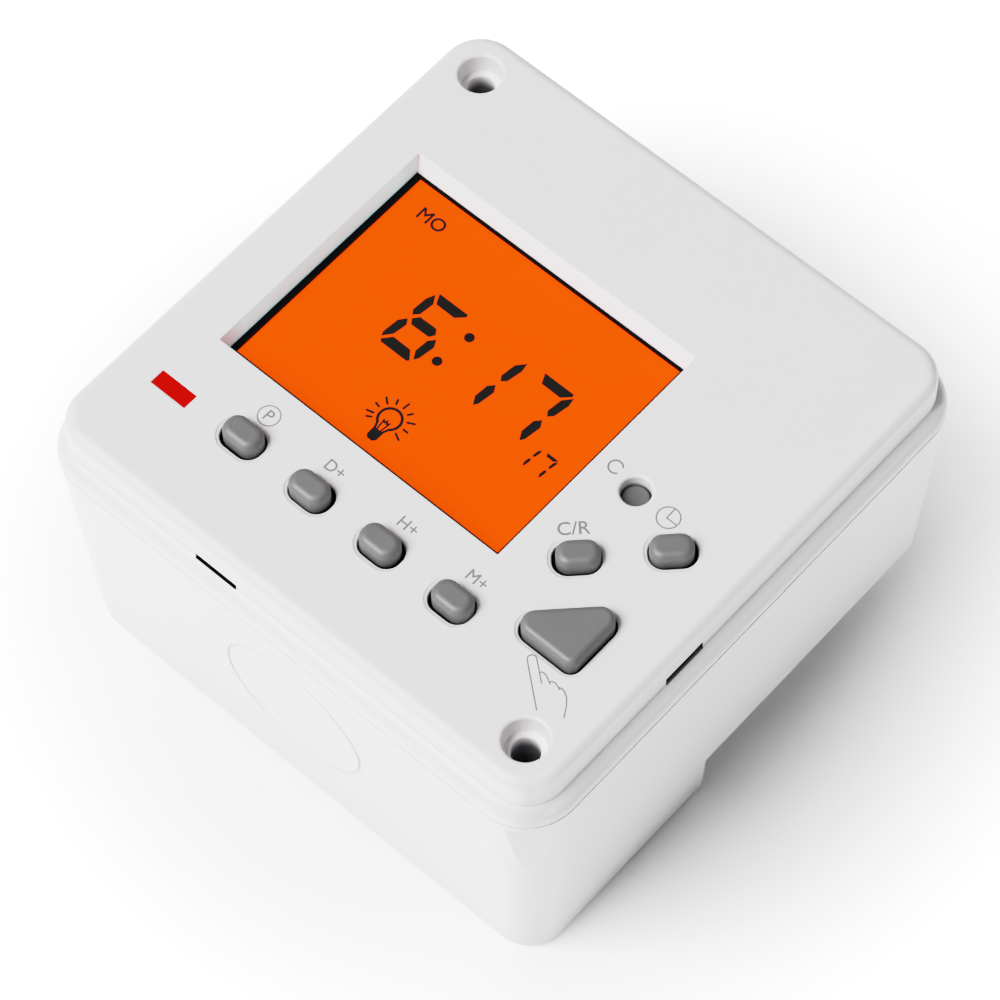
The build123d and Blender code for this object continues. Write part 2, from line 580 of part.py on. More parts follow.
with BuildPart() as key_clock:
    kx, ky, ka = KEYS["clock"]
    kx, ky = kx + SIT["clock"][0], ky + SIT["clock"][1]
    with BuildSketch(Plane.XY.offset(FL_Z0)):
        with Locations(Location((kx, ky, 0), (0, 0, ka))):
            RectangleRounded(KEY_W + 2 * FL_W, KEY_H + 2 * FL_W, KEY_R + FL_W)
    extrude(amount=FL_Z1 - FL_Z0)
    with BuildSketch(Plane.XY.offset(FL_Z0)):
        with Locations(Location((kx, ky, 0), (0, 0, ka))):
            RectangleRounded(KEY_W, KEY_H, KEY_R)
    extrude(amount=KEY_TOP_TURNED - FL_Z0)
    fillet(key_clock.faces().sort_by(Axis.Z)[-1].edges(), KEY_EDGE)
key_clock.part.label = "key_clock"
export_step(key_clock.part, "parts/key_clock.step")

with BuildPart() as key_manual:
    with BuildSketch(Plane.XY.offset(FL_Z0)) as tri_flange:
        with BuildLine():
            Polyline((TRI_X1, TRI_Y0), (TRI_X1, TRI_X1 - TRI_C), (TRI_C + TRI_Y0, TRI_Y0), close=True)
        make_face()
        fillet(tri_flange.vertices().group_by(Axis.X)[0], 1.3)
        fillet(tri_flange.vertices().sort_by(Axis.Y)[-1:], 1.3)
        fillet(tri_flange.vertices().filter_by(lambda v: v.X > TRI_X1 - 0.01 and v.Y < TRI_Y0 + 0.01), 0.9)
        offset(amount=FL_W)
    extrude(amount=FL_Z1 - FL_Z0)
    with BuildSketch(Plane.XY.offset(FL_Z0)) as tri_cap:
        with BuildLine():
            Polyline((TRI_X1, TRI_Y0), (TRI_X1, TRI_X1 - TRI_C), (TRI_C + TRI_Y0, TRI_Y0), close=True)
        make_face()
        fillet(tri_cap.vertices().group_by(Axis.X)[0], 1.3)
        fillet(tri_cap.vertices().sort_by(Axis.Y)[-1:], 1.3)
        fillet(tri_cap.vertices().filter_by(lambda v: v.X > TRI_X1 - 0.01 and v.Y < TRI_Y0 + 0.01), 0.9)
    extrude(amount=TRI_TOP - FL_Z0)
    fillet(key_manual.faces().sort_by(Axis.Z)[-1].edges(), 0.6)
key_manual.part.label = "key_manual"
export_step(key_manual.part, "parts/key_manual.step")

with BuildPart() as key_clear:
    with BuildSketch(Plane.XY.offset(FL_Z0)):
        with Locations(CLEAR):
            Circle(CLEAR_R + FL_W)
    extrude(amount=FL_Z1 - FL_Z0)
    with BuildSketch(Plane.XY.offset(FL_Z0)):
        with Locations(CLEAR):
            Circle(CLEAR_R)
    extrude(amount=CLEAR_TOP - FL_Z0)
    fillet(key_clear.faces().sort_by(Axis.Z)[-1].edges(), 0.25)
key_clear.part.label = "key_clear"
export_step(key_clear.part, "parts/key_clear.step")

# ---------------------------------------------------------------- plungers
PL_BOT = 29.95        # underside of the plunger disc, above the dome
PL_DISC = 0.6
with BuildPart() as plunger_program:
    with BuildSketch(Plane.XY.offset(PL_BOT)):
        with Locations(KEYS["program"][:2]):
            Circle(2.2)
    extrude(amount=PL_DISC)
    with BuildSketch(Plane.XY.offset(PL_BOT)):
        with Locations(KEYS["program"][:2]):
            Circle(PLUNGER_R)
    extrude(amount=FL_Z0 - PL_BOT)
plunger_program.part.label = "plunger_program"
export_step(plunger_program.part, "parts/plunger_program.step")

with BuildPart() as plunger_day:
    with BuildSketch(Plane.XY.offset(PL_BOT)):
        with Locations(KEYS["day"][:2]):
            Circle(2.2)
    extrude(amount=PL_DISC)
    with BuildSketch(Plane.XY.offset(PL_BOT)):
        with Locations(KEYS["day"][:2]):
            Circle(PLUNGER_R)
    extrude(amount=FL_Z0 - PL_BOT)
plunger_day.part.label = "plunger_day"
export_step(plunger_day.part, "parts/plunger_day.step")

with BuildPart() as plunger_hour:
    with BuildSketch(Plane.XY.offset(PL_BOT)):
        with Locations(KEYS["hour"][:2]):
            Circle(2.2)
    extrude(amount=PL_DISC)
    with BuildSketch(Plane.XY.offset(PL_BOT)):
        with Locations(KEYS["hour"][:2]):
            Circle(PLUNGER_R)
    extrude(amount=FL_Z0 - PL_BOT)
plunger_hour.part.label = "plunger_hour"
export_step(plunger_hour.part, "parts/plunger_hour.step")

with BuildPart() as plunger_minute:
    with BuildSketch(Plane.XY.offset(PL_BOT)):
        with Locations(KEYS["minute"][:2]):
            Circle(2.2)
    extrude(amount=PL_DISC)
    with BuildSketch(Plane.XY.offset(PL_BOT)):
        with Locations(KEYS["minute"][:2]):
            Circle(PLUNGER_R)
    extrude(amount=FL_Z0 - PL_BOT)
plunger_minute.part.label = "plunger_minute"
export_step(plunger_minute.part, "parts/plunger_minute.step")

with BuildPart() as plunger_recall:
    with BuildSketch(Plane.XY.offset(PL_BOT)):
        with Locations(KEYS["recall"][:2]):
            Circle(2.2)
    extrude(amount=PL_DISC)
    with BuildSketch(Plane.XY.offset(PL_BOT)):
        with Locations(KEYS["recall"][:2]):
            Circle(PLUNGER_R)
    extrude(amount=FL_Z0 - PL_BOT)
plunger_recall.part.label = "plunger_recall"
export_step(plunger_recall.part, "parts/plunger_recall.step")

with BuildPart() as plunger_clock:
    with BuildSketch(Plane.XY.offset(PL_BOT)):
        with Locations(KEYS["clock"][:2]):
            Circle(2.2)
    extrude(amount=PL_DISC)
    with BuildSketch(Plane.XY.offset(PL_BOT)):
        with Locations(KEYS["clock"][:2]):
            Circle(PLUNGER_R)
    extrude(amount=FL_Z0 - PL_BOT)
plunger_clock.part.label = "plunger_clock"
export_step(plunger_clock.part, "parts/plunger_clock.step")

with BuildPart() as plunger_manual:
    with BuildSketch(Plane.XY.offset(PL_BOT)):
        with Locations(TRI_SW):
            Circle(2.2)
    extrude(amount=PL_DISC)
    with BuildSketch(Plane.XY.offset(PL_BOT)):
        with Locations(TRI_SW):
            Circle(PLUNGER_R)
    extrude(amount=FL_Z0 - PL_BOT)
plunger_manual.part.label = "plunger_manual"
export_step(plunger_manual.part, "parts/plunger_manual.step")

with BuildPart() as plunger_clear:
    with BuildSketch(Plane.XY.offset(PL_BOT)):
        with Locations(CLEAR):
            Circle(2.2)
    extrude(amount=PL_DISC)
    with BuildSketch(Plane.XY.offset(PL_BOT)):
        with Locations(CLEAR):
            Circle(PLUNGER_R)
    extrude(amount=FL_Z0 - PL_BOT)
plunger_clear.part.label = "plunger_clear"
export_step(plunger_clear.part, "parts/plunger_clear.step")

# ---------------------------------------------------------------- small parts of the control board
with BuildPart() as indicator_led:
    with BuildSketch(Plane.XY.offset(BRD_Z1)):
        with Locations(LED):
            Circle(1.9)
    extrude(amount=0.8)
    with BuildSketch(Plane.XY.offset(BRD_Z1)):
        with Locations(LED):
            Circle(1.5)
    extrude(amount=4.0)
    fillet(indicator_led.faces().sort_by(Axis.Z)[-1].edges(), 1.2)
    with BuildSketch(Plane.XY.offset(BRD_Z0 - 1.0)):
        with Locations((LED[0] - 1.27, LED[1]), (LED[0] + 1.27, LED[1])):
            Rectangle(0.5, 0.5)
    extrude(amount=BRD_Z1 - BRD_Z0 + 1.0)
indicator_led.part.label = "indicator_led"
export_step(indicator_led.part, "parts/indicator_led.step")

MCU = (6.0, -4.0)
with BuildPart() as microcontroller:
    with BuildSketch(Plane.XY.offset(BRD_Z0 - 0.1)):
        with Locations(MCU):
            Rectangle(10.0, 10.0)
    extrude(amount=-1.4)
    chamfer(microcontroller.faces().sort_by(Axis.Z)[0].edges(), 0.15)
    with BuildSketch(Plane.XY.offset(BRD_Z0)):
        with Locations(MCU):
            with GridLocations(0.8, 0, 11, 1):
                Rectangle(0.34, 11.8)
            with GridLocations(0, 0.8, 1, 11):
                Rectangle(11.8, 0.34)
    extrude(amount=-0.18)
microcontroller.part.label = "microcontroller"
export_step(microcontroller.part, "parts/microcontroller.step")

with BuildPart() as quartz_crystal:
    with BuildSketch(Plane.YZ.offset(-1.0)):
        with Locations((-14.5, BRD_Z0 - 1.25)):
            Circle(1.0)
    extrude(amount=6.0)
    fillet(quartz_crystal.faces().sort_by(Axis.X)[-1].edges(), 0.3)
    with BuildSketch(Plane.YZ.offset(-3.5)):
        with Locations((-14.9, BRD_Z0 - 1.25), (-14.1, BRD_Z0 - 1.25)):
            Circle(0.15)
    extrude(amount=2.5)
    with BuildSketch(Plane.XY.offset(BRD_Z0)):
        with Locations((-3.3, -14.9), (-3.3, -14.1)):
            Circle(0.13)
    extrude(amount=-1.3)
quartz_crystal.part.label = "quartz_crystal"
export_step(quartz_crystal.part, "parts/quartz_crystal.step")

CELL = (-12.5, 6.5)
with BuildPart() as backup_cell:
    with BuildSketch(Plane.XY.offset(20.1)):
        with Locations(CELL):
            Circle(7.75)
    extrude(amount=5.8)
    fillet(backup_cell.faces().filter_by(GeomType.PLANE).edges(), 0.5)
    with BuildSketch(Plane.XY.offset(20.1)):
        with Locations(CELL):
            Circle(6.2)
            Circle(5.9, mode=Mode.SUBTRACT)
    extrude(amount=0.15, mode=Mode.SUBTRACT)
backup_cell.part.label = "backup_cell"
export_step(backup_cell.part, "parts/backup_cell.step")

with BuildPart() as cell_tabs:
    # strip under the cell, folded up to the board
    with BuildSketch(Plane.XY.offset(20.1)):
        with Locations((CELL[0] + 4.0, CELL[1])):
            Rectangle(10.4, 3.0)
    extrude(amount=-0.2)
    with BuildSketch(Plane.XY.offset(19.9)):
        with Locations((CELL[0] + 9.1, CELL[1])):
            Rectangle(0.2, 3.0)
    extrude(amount=BRD_Z0 - 19.9)
    # strip over the cell
    with BuildSketch(Plane.XY.offset(25.9)):
        with Locations((CELL[0] - 3.0, CELL[1])):
            Rectangle(8.0, 3.0)
    extrude(amount=0.2)
    with BuildSketch(Plane.XY.offset(25.9)):
        with Locations((CELL[0] - 6.5, CELL[1])):
            Rectangle(1.0, 3.0)
    extrude(amount=BRD_Z0 - 25.9)
cell_tabs.part.label = "cell_tabs"
export_step(cell_tabs.part, "parts/cell_tabs.step")

with BuildPart() as header_strip:
    with BuildSketch(Plane.XY.offset(PWR_Z1)):
        with Locations((HDR_X, HDR_Y)):
            Rectangle(2.5, 15.24)
    extrude(amount=2.5)
    with BuildSketch(Plane.XY.offset(PWR_Z1)):
        with Locations(*[(HDR_X, y) for y in HDR_Y_LIST]):
            Rectangle(0.66, 0.66, mode=Mode.ADD)
    extrude(amount=2.5, mode=Mode.SUBTRACT)
header_strip.part.label = "header_strip"
export_step(header_strip.part, "parts/header_strip.step")

with BuildPart() as header_pins:
    with BuildSketch(Plane.XY.offset(PWR_Z0 - 1.2)):
        with Locations(*[(HDR_X, y) for y in HDR_Y_LIST]):
            Rectangle(0.64, 0.64)
    extrude(amount=BRD_Z1 + 1.0 - PWR_Z0 + 1.2)
header_pins.part.label = "header_pins"
export_step(header_pins.part, "parts/header_pins.step")

# ---------------------------------------------------------------- power board
RELAY = (10.0, -16.7)
CAPX = (-13.0, -11.3)
ECAP = (-11.0, -20.8)
VDR = (-13.5, -0.8)
FUSE = (5.0, -0.6)
RELAY_PINS = [(RELAY[0] - 8.0, RELAY[1]), (RELAY[0] - 6.0, RELAY[1] - 6.0), (RELAY[0] - 6.0, RELAY[1] + 6.0),
              (RELAY[0] + 6.2, RELAY[1] - 6.0), (RELAY[0] + 6.2, RELAY[1] + 6.0)]
CAPX_PINS = [(CAPX[0] - 7.5, CAPX[1]), (CAPX[0] + 7.5, CAPX[1])]
ECAP_PINS = [(ECAP[0] - 1.75, ECAP[1]), (ECAP[0] + 1.75, ECAP[1])]
VDR_PINS = [(VDR[0] - 2.5, VDR[1]), (VDR[0] + 2.5, VDR[1])]
FUSE_PINS = [(FUSE[0] - 7.0, FUSE[1]), (FUSE[0] + 7.0, FUSE[1])]
LEG_Y = 9.4
with BuildPart() as power_board:
    with BuildSketch(Plane.XY.offset(PWR_Z0)):
        RectangleRounded(2 * BRD, 2 * BRD, 1.5)
        with Locations((-HOLE, HOLE), (HOLE, -HOLE)):
            Circle(4.3, mode=Mode.SUBTRACT)
        with Locations(*POSTS):
            Circle(1.1, mode=Mode.SUBTRACT)
        with Locations(*(RELAY_PINS + CAPX_PINS + ECAP_PINS + VDR_PINS + FUSE_PINS)):
            Circle(0.55, mode=Mode.SUBTRACT)
        with Locations(*[(HDR_X, y) for y in HDR_Y_LIST]):
            Circle(0.55, mode=Mode.SUBTRACT)
        with Locations(*[(x, LEG_Y) for x in TB_X]):
            Rectangle(5.2, 1.1, mode=Mode.SUBTRACT)
    extrude(amount=PWR_Z1 - PWR_Z0)
power_board.part.label = "power_board"
export_step(power_board.part, "parts/power_board.step")

with BuildPart() as power_board_screws:
    with BuildSketch(Plane.XY.offset(PWR_Z1)):
        with Locations(*POSTS):
            Circle(1.9)
    extrude(amount=1.4)
    fillet(power_board_screws.faces().group_by(Axis.Z)[-1].edges(), 0.5)
    with BuildSketch(Plane.XY.offset(PWR_Z1)):
        with Locations(*POSTS):
            Circle(1.0)
    extrude(amount=-7.6)
    with BuildSketch(Plane.XY.offset(PWR_Z1 + 1.4)):
        with Locations(*POSTS):
            Rectangle(2.0, 0.45)
            Rectangle(0.45, 2.0)
    extrude(amount=-0.8, mode=Mode.SUBTRACT)
power_board_screws.part.label = "power_board_screws"
export_step(power_board_screws.part, "parts/power_board_screws.step")

with BuildPart() as relay:
    with BuildSketch(Plane.XY.offset(PWR_Z0)):
        with Locations(RELAY):
            RectangleRounded(19.0, 15.2, 0.5)
    extrude(amount=-14.8)
    fillet(relay.faces().sort_by(Axis.Z)[0].edges(), 0.45)
    with BuildSketch(Plane.XY.offset(PWR_Z0)):
        with Locations(*RELAY_PINS):
            Circle(0.45)
    extrude(amount=2.6)
relay.part.label = "relay"
export_step(relay.part, "parts/relay.step")

with BuildPart() as suppression_capacitor:
    with BuildSketch(Plane.XY.offset(PWR_Z0 - 0.3)):
        with Locations(CAPX):
            RectangleRounded(18.0, 7.6, 0.4)
    extrude(amount=-14.0)
    fillet(suppression_capacitor.faces().sort_by(Axis.Z)[0].edges(), 0.35)
    with BuildSketch(Plane.XY.offset(PWR_Z0 - 0.3)):
        with Locations(*CAPX_PINS):
            Circle(0.4)
    extrude(amount=2.9)
suppression_capacitor.part.label = "suppression_capacitor"
export_step(suppression_capacitor.part, "parts/suppression_capacitor.step")

with BuildPart() as electrolytic_capacitor:
    with BuildSketch(Plane.XY.offset(PWR_Z0 - 0.3)):
        with Locations(ECAP):
            Circle(4.0)
    extrude(amount=-12.0)
    fillet(electrolytic_capacitor.faces().filter_by(GeomType.PLANE).edges(), 0.4)
    with BuildSketch(Plane.XY.offset(PWR_Z0 - 0.3 - 12.0)):
        with Locations(ECAP):
            Rectangle(5.0, 0.3)
            Rectangle(0.3, 5.0)
    extrude(amount=0.25, mode=Mode.SUBTRACT)
    with BuildSketch(Plane.XY.offset(PWR_Z0 - 0.3)):
        with Locations(*ECAP_PINS):
            Circle(0.3)
    extrude(amount=2.9)
electrolytic_capacitor.part.label = "electrolytic_capacitor"
export_step(electrolytic_capacitor.part, "parts/electrolytic_capacitor.step")

with BuildPart() as varistor:
    with BuildSketch(Plane.XZ.offset(-VDR[1] + 1.9)):
        with Locations((VDR[0], PWR_Z0 - 5.3)):
            Circle(4.4)
    extrude(amount=-3.8)
    fillet(varistor.faces().filter_by(GeomType.PLANE).edges(), 0.9)
    with BuildSketch(Plane.XY.offset(PWR_Z1 + 0.7)):
        with Locations(*VDR_PINS):
            Circle(0.35)
    extrude(amount=-(PWR_Z1 + 0.7 - PWR_Z0 + 4.0))
varistor.part.label = "varistor"
export_step(varistor.part, "parts/varistor.step")

with BuildPart() as fuse:
    with BuildSketch(Plane.YZ.offset(FUSE[0] - 5.0)):
        with Locations((FUSE[1], PWR_Z0 - 2.6)):
            Circle(1.8)
    extrude(amount=10.0)
    fillet(fuse.faces().filter_by(GeomType.PLANE).edges(), 0.35)
    with BuildSketch(Plane.YZ.offset(FUSE[0] - 7.3)):
        with Locations((FUSE[1], PWR_Z0 - 2.6)):
            Circle(0.35)
    extrude(amount=14.6)
    with BuildSketch(Plane.XY.offset(PWR_Z1 + 0.9)):
        with Locations(*FUSE_PINS):
            Circle(0.35)
    extrude(amount=-(PWR_Z1 + 0.9 - PWR_Z0 + 2.7))
fuse.part.label = "fuse"
export_step(fuse.part, "parts/fuse.step")

with BuildPart() as rectifier_diodes:
    for dx in (1.0, 4.5, 8.0, 11.5):
        with BuildSketch(Plane.XZ.offset(-0.4)):
            with Locations((dx, PWR_Z1 + 1.5)):
                Circle(1.3)
        extrude(amount=-5.2)
        with BuildSketch(Plane.XZ.offset(2.2)):
            with Locations((dx, PWR_Z1 + 1.5)):
                Circle(0.35)
        extrude(amount=-10.4)
        with BuildSketch(Plane.XY.offset(PWR_Z1)):
            with Locations((dx, -1.9), (dx, 7.9)):
                Circle(0.35)
        extrude(amount=1.5)
rectifier_diodes.part.label = "rectifier_diodes"
export_step(rectifier_diodes.part, "parts/rectifier_diodes.step")

with BuildPart() as dropper_resistors:
    for ry in (-14.0, -18.0):
        with BuildSketch(Plane.YZ.offset(-12.5)):
            with Locations((ry, PWR_Z1 + 2.0)):
                Circle(1.7)
        extrude(amount=9.0)
    fillet(dropper_resistors.faces().filter_by(Axis.X).edges(), 0.4)
    for ry in (-14.0, -18.0):
        with BuildSketch(Plane.YZ.offset(-15.0)):
            with Locations((ry, PWR_Z1 + 2.0)):
                Circle(0.35)
        extrude(amount=14.0)
        with BuildSketch(Plane.XY.offset(PWR_Z1)):
            with Locations((-14.5, ry), (-1.5, ry)):
                Circle(0.33)
        extrude(amount=2.0)
dropper_resistors.part.label = "dropper_resistors"
export_step(dropper_resistors.part, "parts/dropper_resistors.step")

# ---------------------------------------------------------------- terminal block
with BuildPart() as terminal_block:
    with BuildSketch(Plane.XY.offset(STEP_Z)):
        with Locations((0, (TB_Y0 + TB_Y1) / 2)):
            Rectangle(2 * TB_HALF, TB_Y1 - TB_Y0)
    extrude(amount=PWR_Z0 - STEP_Z)
    # flange that sits on the inside of the recess floor
    with BuildSketch(Plane.XY.offset(STEP_FLOOR)):
        with Locations((0, (TB_Y0 + TB_Y1) / 2)):
            Rectangle(2 * TB_HALF + 2.4, TB_Y1 - TB_Y0 + 2.4)
        with Locations(POSTS[1]):
            Circle(2.7, mode=Mode.SUBTRACT)
    extrude(amount=1.2)
    # barrier ribs and the closing wall behind them
    with BuildSketch(Plane.XY.offset(STEP_Z)):
        with Locations((0, (TB_Y0 + TB_Y1) / 2)):
            with GridLocations(8.0, 0, 6, 1):
                Rectangle(1.2, TB_Y1 - TB_Y0)
        with Locations((0, TB_Y0 + 0.6)):
            Rectangle(2 * TB_HALF, 1.2)
    extrude(amount=-(STEP_Z - 1.2))
    # pockets under the power board
    with BuildSketch(Plane.XY.offset(PWR_Z0)):
        with Locations((0, 13.0)):
            with GridLocations(8.0, 0, 5, 1):
                Rectangle(6.4, 11.0)
    extrude(amount=-(PWR_Z0 - 8.6), mode=Mode.SUBTRACT)
    # screw clearance and leg slots
    with BuildSketch(Plane.XY.offset(STEP_Z - 1)):
        with Locations(*[(x, TB_SCREW_Y) for x in TB_X]):
            Circle(2.0)
        with Locations(*[(x, LEG_Y) for x in TB_X]):
            Rectangle(5.1, 0.9)
    extrude(amount=5, mode=Mode.SUBTRACT)
terminal_block.part.label = "terminal_block"
export_step(terminal_block.part, "parts/terminal_block.step")

with BuildPart() as terminal_plates:
    with BuildSketch(Plane.XY.offset(STEP_Z)):
        with Locations(*[(x, (9.0 + 16.8) / 2) for x in TB_X]):
            Rectangle(6.0, 7.8)
        with Locations(*[(x, TB_SCREW_Y) for x in TB_X]):
            Circle(1.8, mode=Mode.SUBTRACT)
    extrude(amount=-0.8)
    with BuildSketch(Plane.XY.offset(STEP_Z - 0.8)):
        with Locations(*[(x, LEG_Y) for x in TB_X]):
            Rectangle(5.0, 0.8)
    extrude(amount=PWR_Z1 + 0.6 - STEP_Z + 0.8)
terminal_plates.part.label = "terminal_plates"
export_step(terminal_plates.part, "parts/terminal_plates.step")

with BuildPart() as terminal_clamps:
    with BuildSketch(Plane.XY.offset(STEP_Z - 0.8)):
        with Locations(*[(x, TB_SCREW_Y) for x in TB_X]):
            RectangleRounded(6.0, 6.0, 0.6)
            Circle(1.85, mode=Mode.SUBTRACT)
    extrude(amount=-0.8)
terminal_clamps.part.label = "terminal_clamps"
export_step(terminal_clamps.part, "parts/terminal_clamps.step")

with BuildPart() as terminal_screws:
    with BuildSketch(Plane.XY.offset(STEP_Z - 1.6)):
        with Locations(*[(x, TB_SCREW_Y) for x in TB_X]):
            Circle(2.8)
    extrude(amount=-2.0)
    fillet(terminal_screws.faces().group_by(Axis.Z)[0].edges(), 0.6)
    with BuildSketch(Plane.XY.offset(STEP_Z - 1.6)):
        with Locations(*[(x, TB_SCREW_Y) for x in TB_X]):
            Circle(1.75)
    extrude(amount=8.0)
    chamfer(terminal_screws.faces().group_by(Axis.Z)[-1].edges(), 0.4)
    with BuildSketch(Plane.XY.offset(STEP_Z - 3.6)):
        with Locations(*[(x, TB_SCREW_Y) for x in TB_X]):
            Rectangle(3.6, 0.8)
            Rectangle(0.8, 3.6)
    extrude(amount=1.1, mode=Mode.SUBTRACT)
terminal_screws.part.label = "terminal_screws"
export_step(terminal_screws.part, "parts/terminal_screws.step")
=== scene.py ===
import bpy
import bmesh
import json
import math
from mathutils import Matrix, Vector
from mathutils.geometry import delaunay_2d_cdt


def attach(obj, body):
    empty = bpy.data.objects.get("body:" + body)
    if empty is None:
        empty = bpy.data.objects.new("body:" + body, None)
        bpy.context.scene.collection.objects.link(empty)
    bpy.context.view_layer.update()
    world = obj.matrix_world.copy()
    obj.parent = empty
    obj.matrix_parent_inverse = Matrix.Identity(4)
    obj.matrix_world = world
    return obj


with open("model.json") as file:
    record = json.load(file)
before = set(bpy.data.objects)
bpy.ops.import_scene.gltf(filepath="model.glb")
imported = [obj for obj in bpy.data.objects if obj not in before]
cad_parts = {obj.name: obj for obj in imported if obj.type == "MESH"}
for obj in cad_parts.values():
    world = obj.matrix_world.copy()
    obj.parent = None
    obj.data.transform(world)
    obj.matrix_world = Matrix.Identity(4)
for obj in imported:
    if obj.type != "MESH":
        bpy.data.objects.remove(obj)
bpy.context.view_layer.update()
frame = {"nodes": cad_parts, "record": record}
nodes = frame["nodes"]
MM = 0.001
scene = bpy.context.scene
col = scene.collection

FACE_Z = 35.0          # cover face, mm
LCD_Z = 32.6           # top of the display film, mm

# ------------------------------------------------------------------ camera
cam_data = bpy.data.cameras.new("camera")
cam = bpy.data.objects.new("camera", cam_data)
col.objects.link(cam)
cam_data.sensor_fit = "HORIZONTAL"
cam_data.sensor_width = 36.0
cam_data.lens = 152.649
cam_data.shift_x = -0.01904
cam_data.shift_y = -0.00127
cam_data.clip_start = 0.02
cam_data.clip_end = 20.0
right = Vector((0.74812109, 0.66347471, -0.01077729))
down = Vector((0.57416505, -0.65538829, -0.49071447))
ahead = Vector((-0.33263995, 0.3609259, -0.87125379))
place = Matrix((
    (right.x, -down.x, -ahead.x, 0.132173),
    (right.y, -down.y, -ahead.y, -0.141495),
    (right.z, -down.z, -ahead.z, 0.359193),
    (0, 0, 0, 1)))
cam.matrix_world = place
scene.camera = cam

# ------------------------------------------------------------------ colour handling and world
scene.view_settings.view_transform = "Standard"
scene.view_settings.look = "None"
# response of the picture: straight in the dark tones, a soft shoulder in the light ones
scene.view_settings.use_curve_mapping = True
tone = scene.view_settings.curve_mapping
tone.use_clip = False
curve = tone.curves[3]
curve.points[0].location = (0.0, 0.0)
curve.points[1].location = (1.4, 1.0)
for x, y in ((0.05, 0.078), (0.10, 0.16), (0.20, 0.35), (0.35, 0.575), (0.50, 0.70), (0.65, 0.770), (0.85, 0.842), (1.10, 0.92)):
    curve.points.new(x, y)
tone.update()
world = bpy.data.worlds.new("studio")
scene.world = world
world.use_nodes = True
wn = world.node_tree.nodes
wl = world.node_tree.links
bg = wn["Background"]
bg.inputs["Strength"].default_value = 0.15
w_tc = wn.new("ShaderNodeTexCoord")
w_sep = wn.new("ShaderNodeSeparateXYZ")
w_ramp = wn.new("ShaderNodeValToRGB")
wl.new(w_tc.outputs["Generated"], w_sep.inputs[0])
w_map = wn.new("ShaderNodeMapRange")
w_map.inputs["From Min"].default_value = -1.0
w_map.inputs["From Max"].default_value = 1.0
wl.new(w_sep.outputs["Z"], w_map.inputs["Value"])
wl.new(w_map.outputs["Result"], w_ramp.inputs["Fac"])
w_ramp.color_ramp.elements[0].position = 0.30
w_ramp.color_ramp.elements[0].color = (0.80, 0.80, 0.80, 1)
w_ramp.color_ramp.elements[1].position = 0.85
w_ramp.color_ramp.elements[1].color = (1.0, 1.0, 1.0, 1)
wl.new(w_ramp.outputs["Color"], bg.inputs["Color"])


def area_light(name, loc, target, size, power, colour=(1, 1, 1)):
    data = bpy.data.lights.new(name, "AREA")
    data.shape = "DISK"
    data.size = size
    data.energy = power
    data.color = colour
    ob = bpy.data.objects.new(name, data)
    col.objects.link(ob)
    ob.location = loc
    ob.rotation_euler = (Vector(target) - Vector(loc)).to_track_quat("-Z", "Y").to_euler()
    return ob


area_light("key_soft", (-0.640, -1.520, 2.138), (0, 0, 0.02), 1.80, 64.5)


# ------------------------------------------------------------------ materials
def new_mat(name):
    mat = bpy.data.materials.new(name)
    mat.use_nodes = True
    return mat, mat.node_tree.nodes, mat.node_tree.links, mat.node_tree.nodes["Principled BSDF"]


def node(nodes_, kind, **inputs):
    n = nodes_.new(kind)
    for key, value in inputs.items():
        n.inputs[key.replace("_", " ")].default_value = value
    return n


def box_mask(n, l, vec, lo, hi, soft=0.15):
    """1 inside the box lo..hi (mm, object coordinates), 0 outside, with a soft border."""
    sub = n.new("ShaderNodeVectorMath")
    sub.operation = "SUBTRACT"
    sub.inputs[1].default_value = [(a + b) / 2 * MM for a, b in zip(lo, hi)]
    l.new(vec, sub.inputs[0])
    ab = n.new("ShaderNodeVectorMath")
    ab.operation = "ABSOLUTE"
    l.new(sub.outputs["Vector"], ab.inputs[0])
    less = n.new("ShaderNodeVectorMath")
    less.operation = "SUBTRACT"
    less.inputs[0].default_value = [(b - a) / 2 * MM for a, b in zip(lo, hi)]
    l.new(ab.outputs["Vector"], less.inputs[1])
    sep = n.new("ShaderNodeSeparateXYZ")
    l.new(less.outputs["Vector"], sep.inputs[0])
    m1 = n.new("ShaderNodeMath")
    m1.operation = "MINIMUM"
    l.new(sep.outputs["X"], m1.inputs[0])
    l.new(sep.outputs["Y"], m1.inputs[1])
    m2 = n.new("ShaderNodeMath")
    m2.operation = "MINIMUM"
    l.new(m1.outputs[0], m2.inputs[0])
    l.new(sep.outputs["Z"], m2.inputs[1])
    mp = n.new("ShaderNodeMapRange")
    mp.inputs["From Min"].default_value = 0.0
    mp.inputs["From Max"].default_value = soft * MM
    l.new(m2.outputs[0], mp.inputs["Value"])
    return mp.outputs["Result"]


def tube_mask(n, l, vec, cx, cy, r, z_dark, z_light):
    """1 inside the upright tube of radius r (mm) below z_dark, fading to 0 at z_light."""
    sep = n.new("ShaderNodeSeparateXYZ")
    l.new(vec, sep.inputs[0])
    flat = n.new("ShaderNodeCombineXYZ")
    l.new(sep.outputs["X"], flat.inputs["X"])
    l.new(sep.outputs["Y"], flat.inputs["Y"])
    dist = n.new("ShaderNodeVectorMath")
    dist.operation = "DISTANCE"
    dist.inputs[1].default_value = (cx * MM, cy * MM, 0.0)
    l.new(flat.outputs[0], dist.inputs[0])
    near = n.new("ShaderNodeMapRange")
    near.inputs["From Min"].default_value = r * MM
    near.inputs["From Max"].default_value = (r + 0.05) * MM
    near.inputs["To Min"].default_value = 1.0
    near.inputs["To Max"].default_value = 0.0
    l.new(dist.outputs["Value"], near.inputs["Value"])
    return times(n, l, near.outputs["Result"], fall(n, l, sep.outputs["Z"], z_dark, z_light))


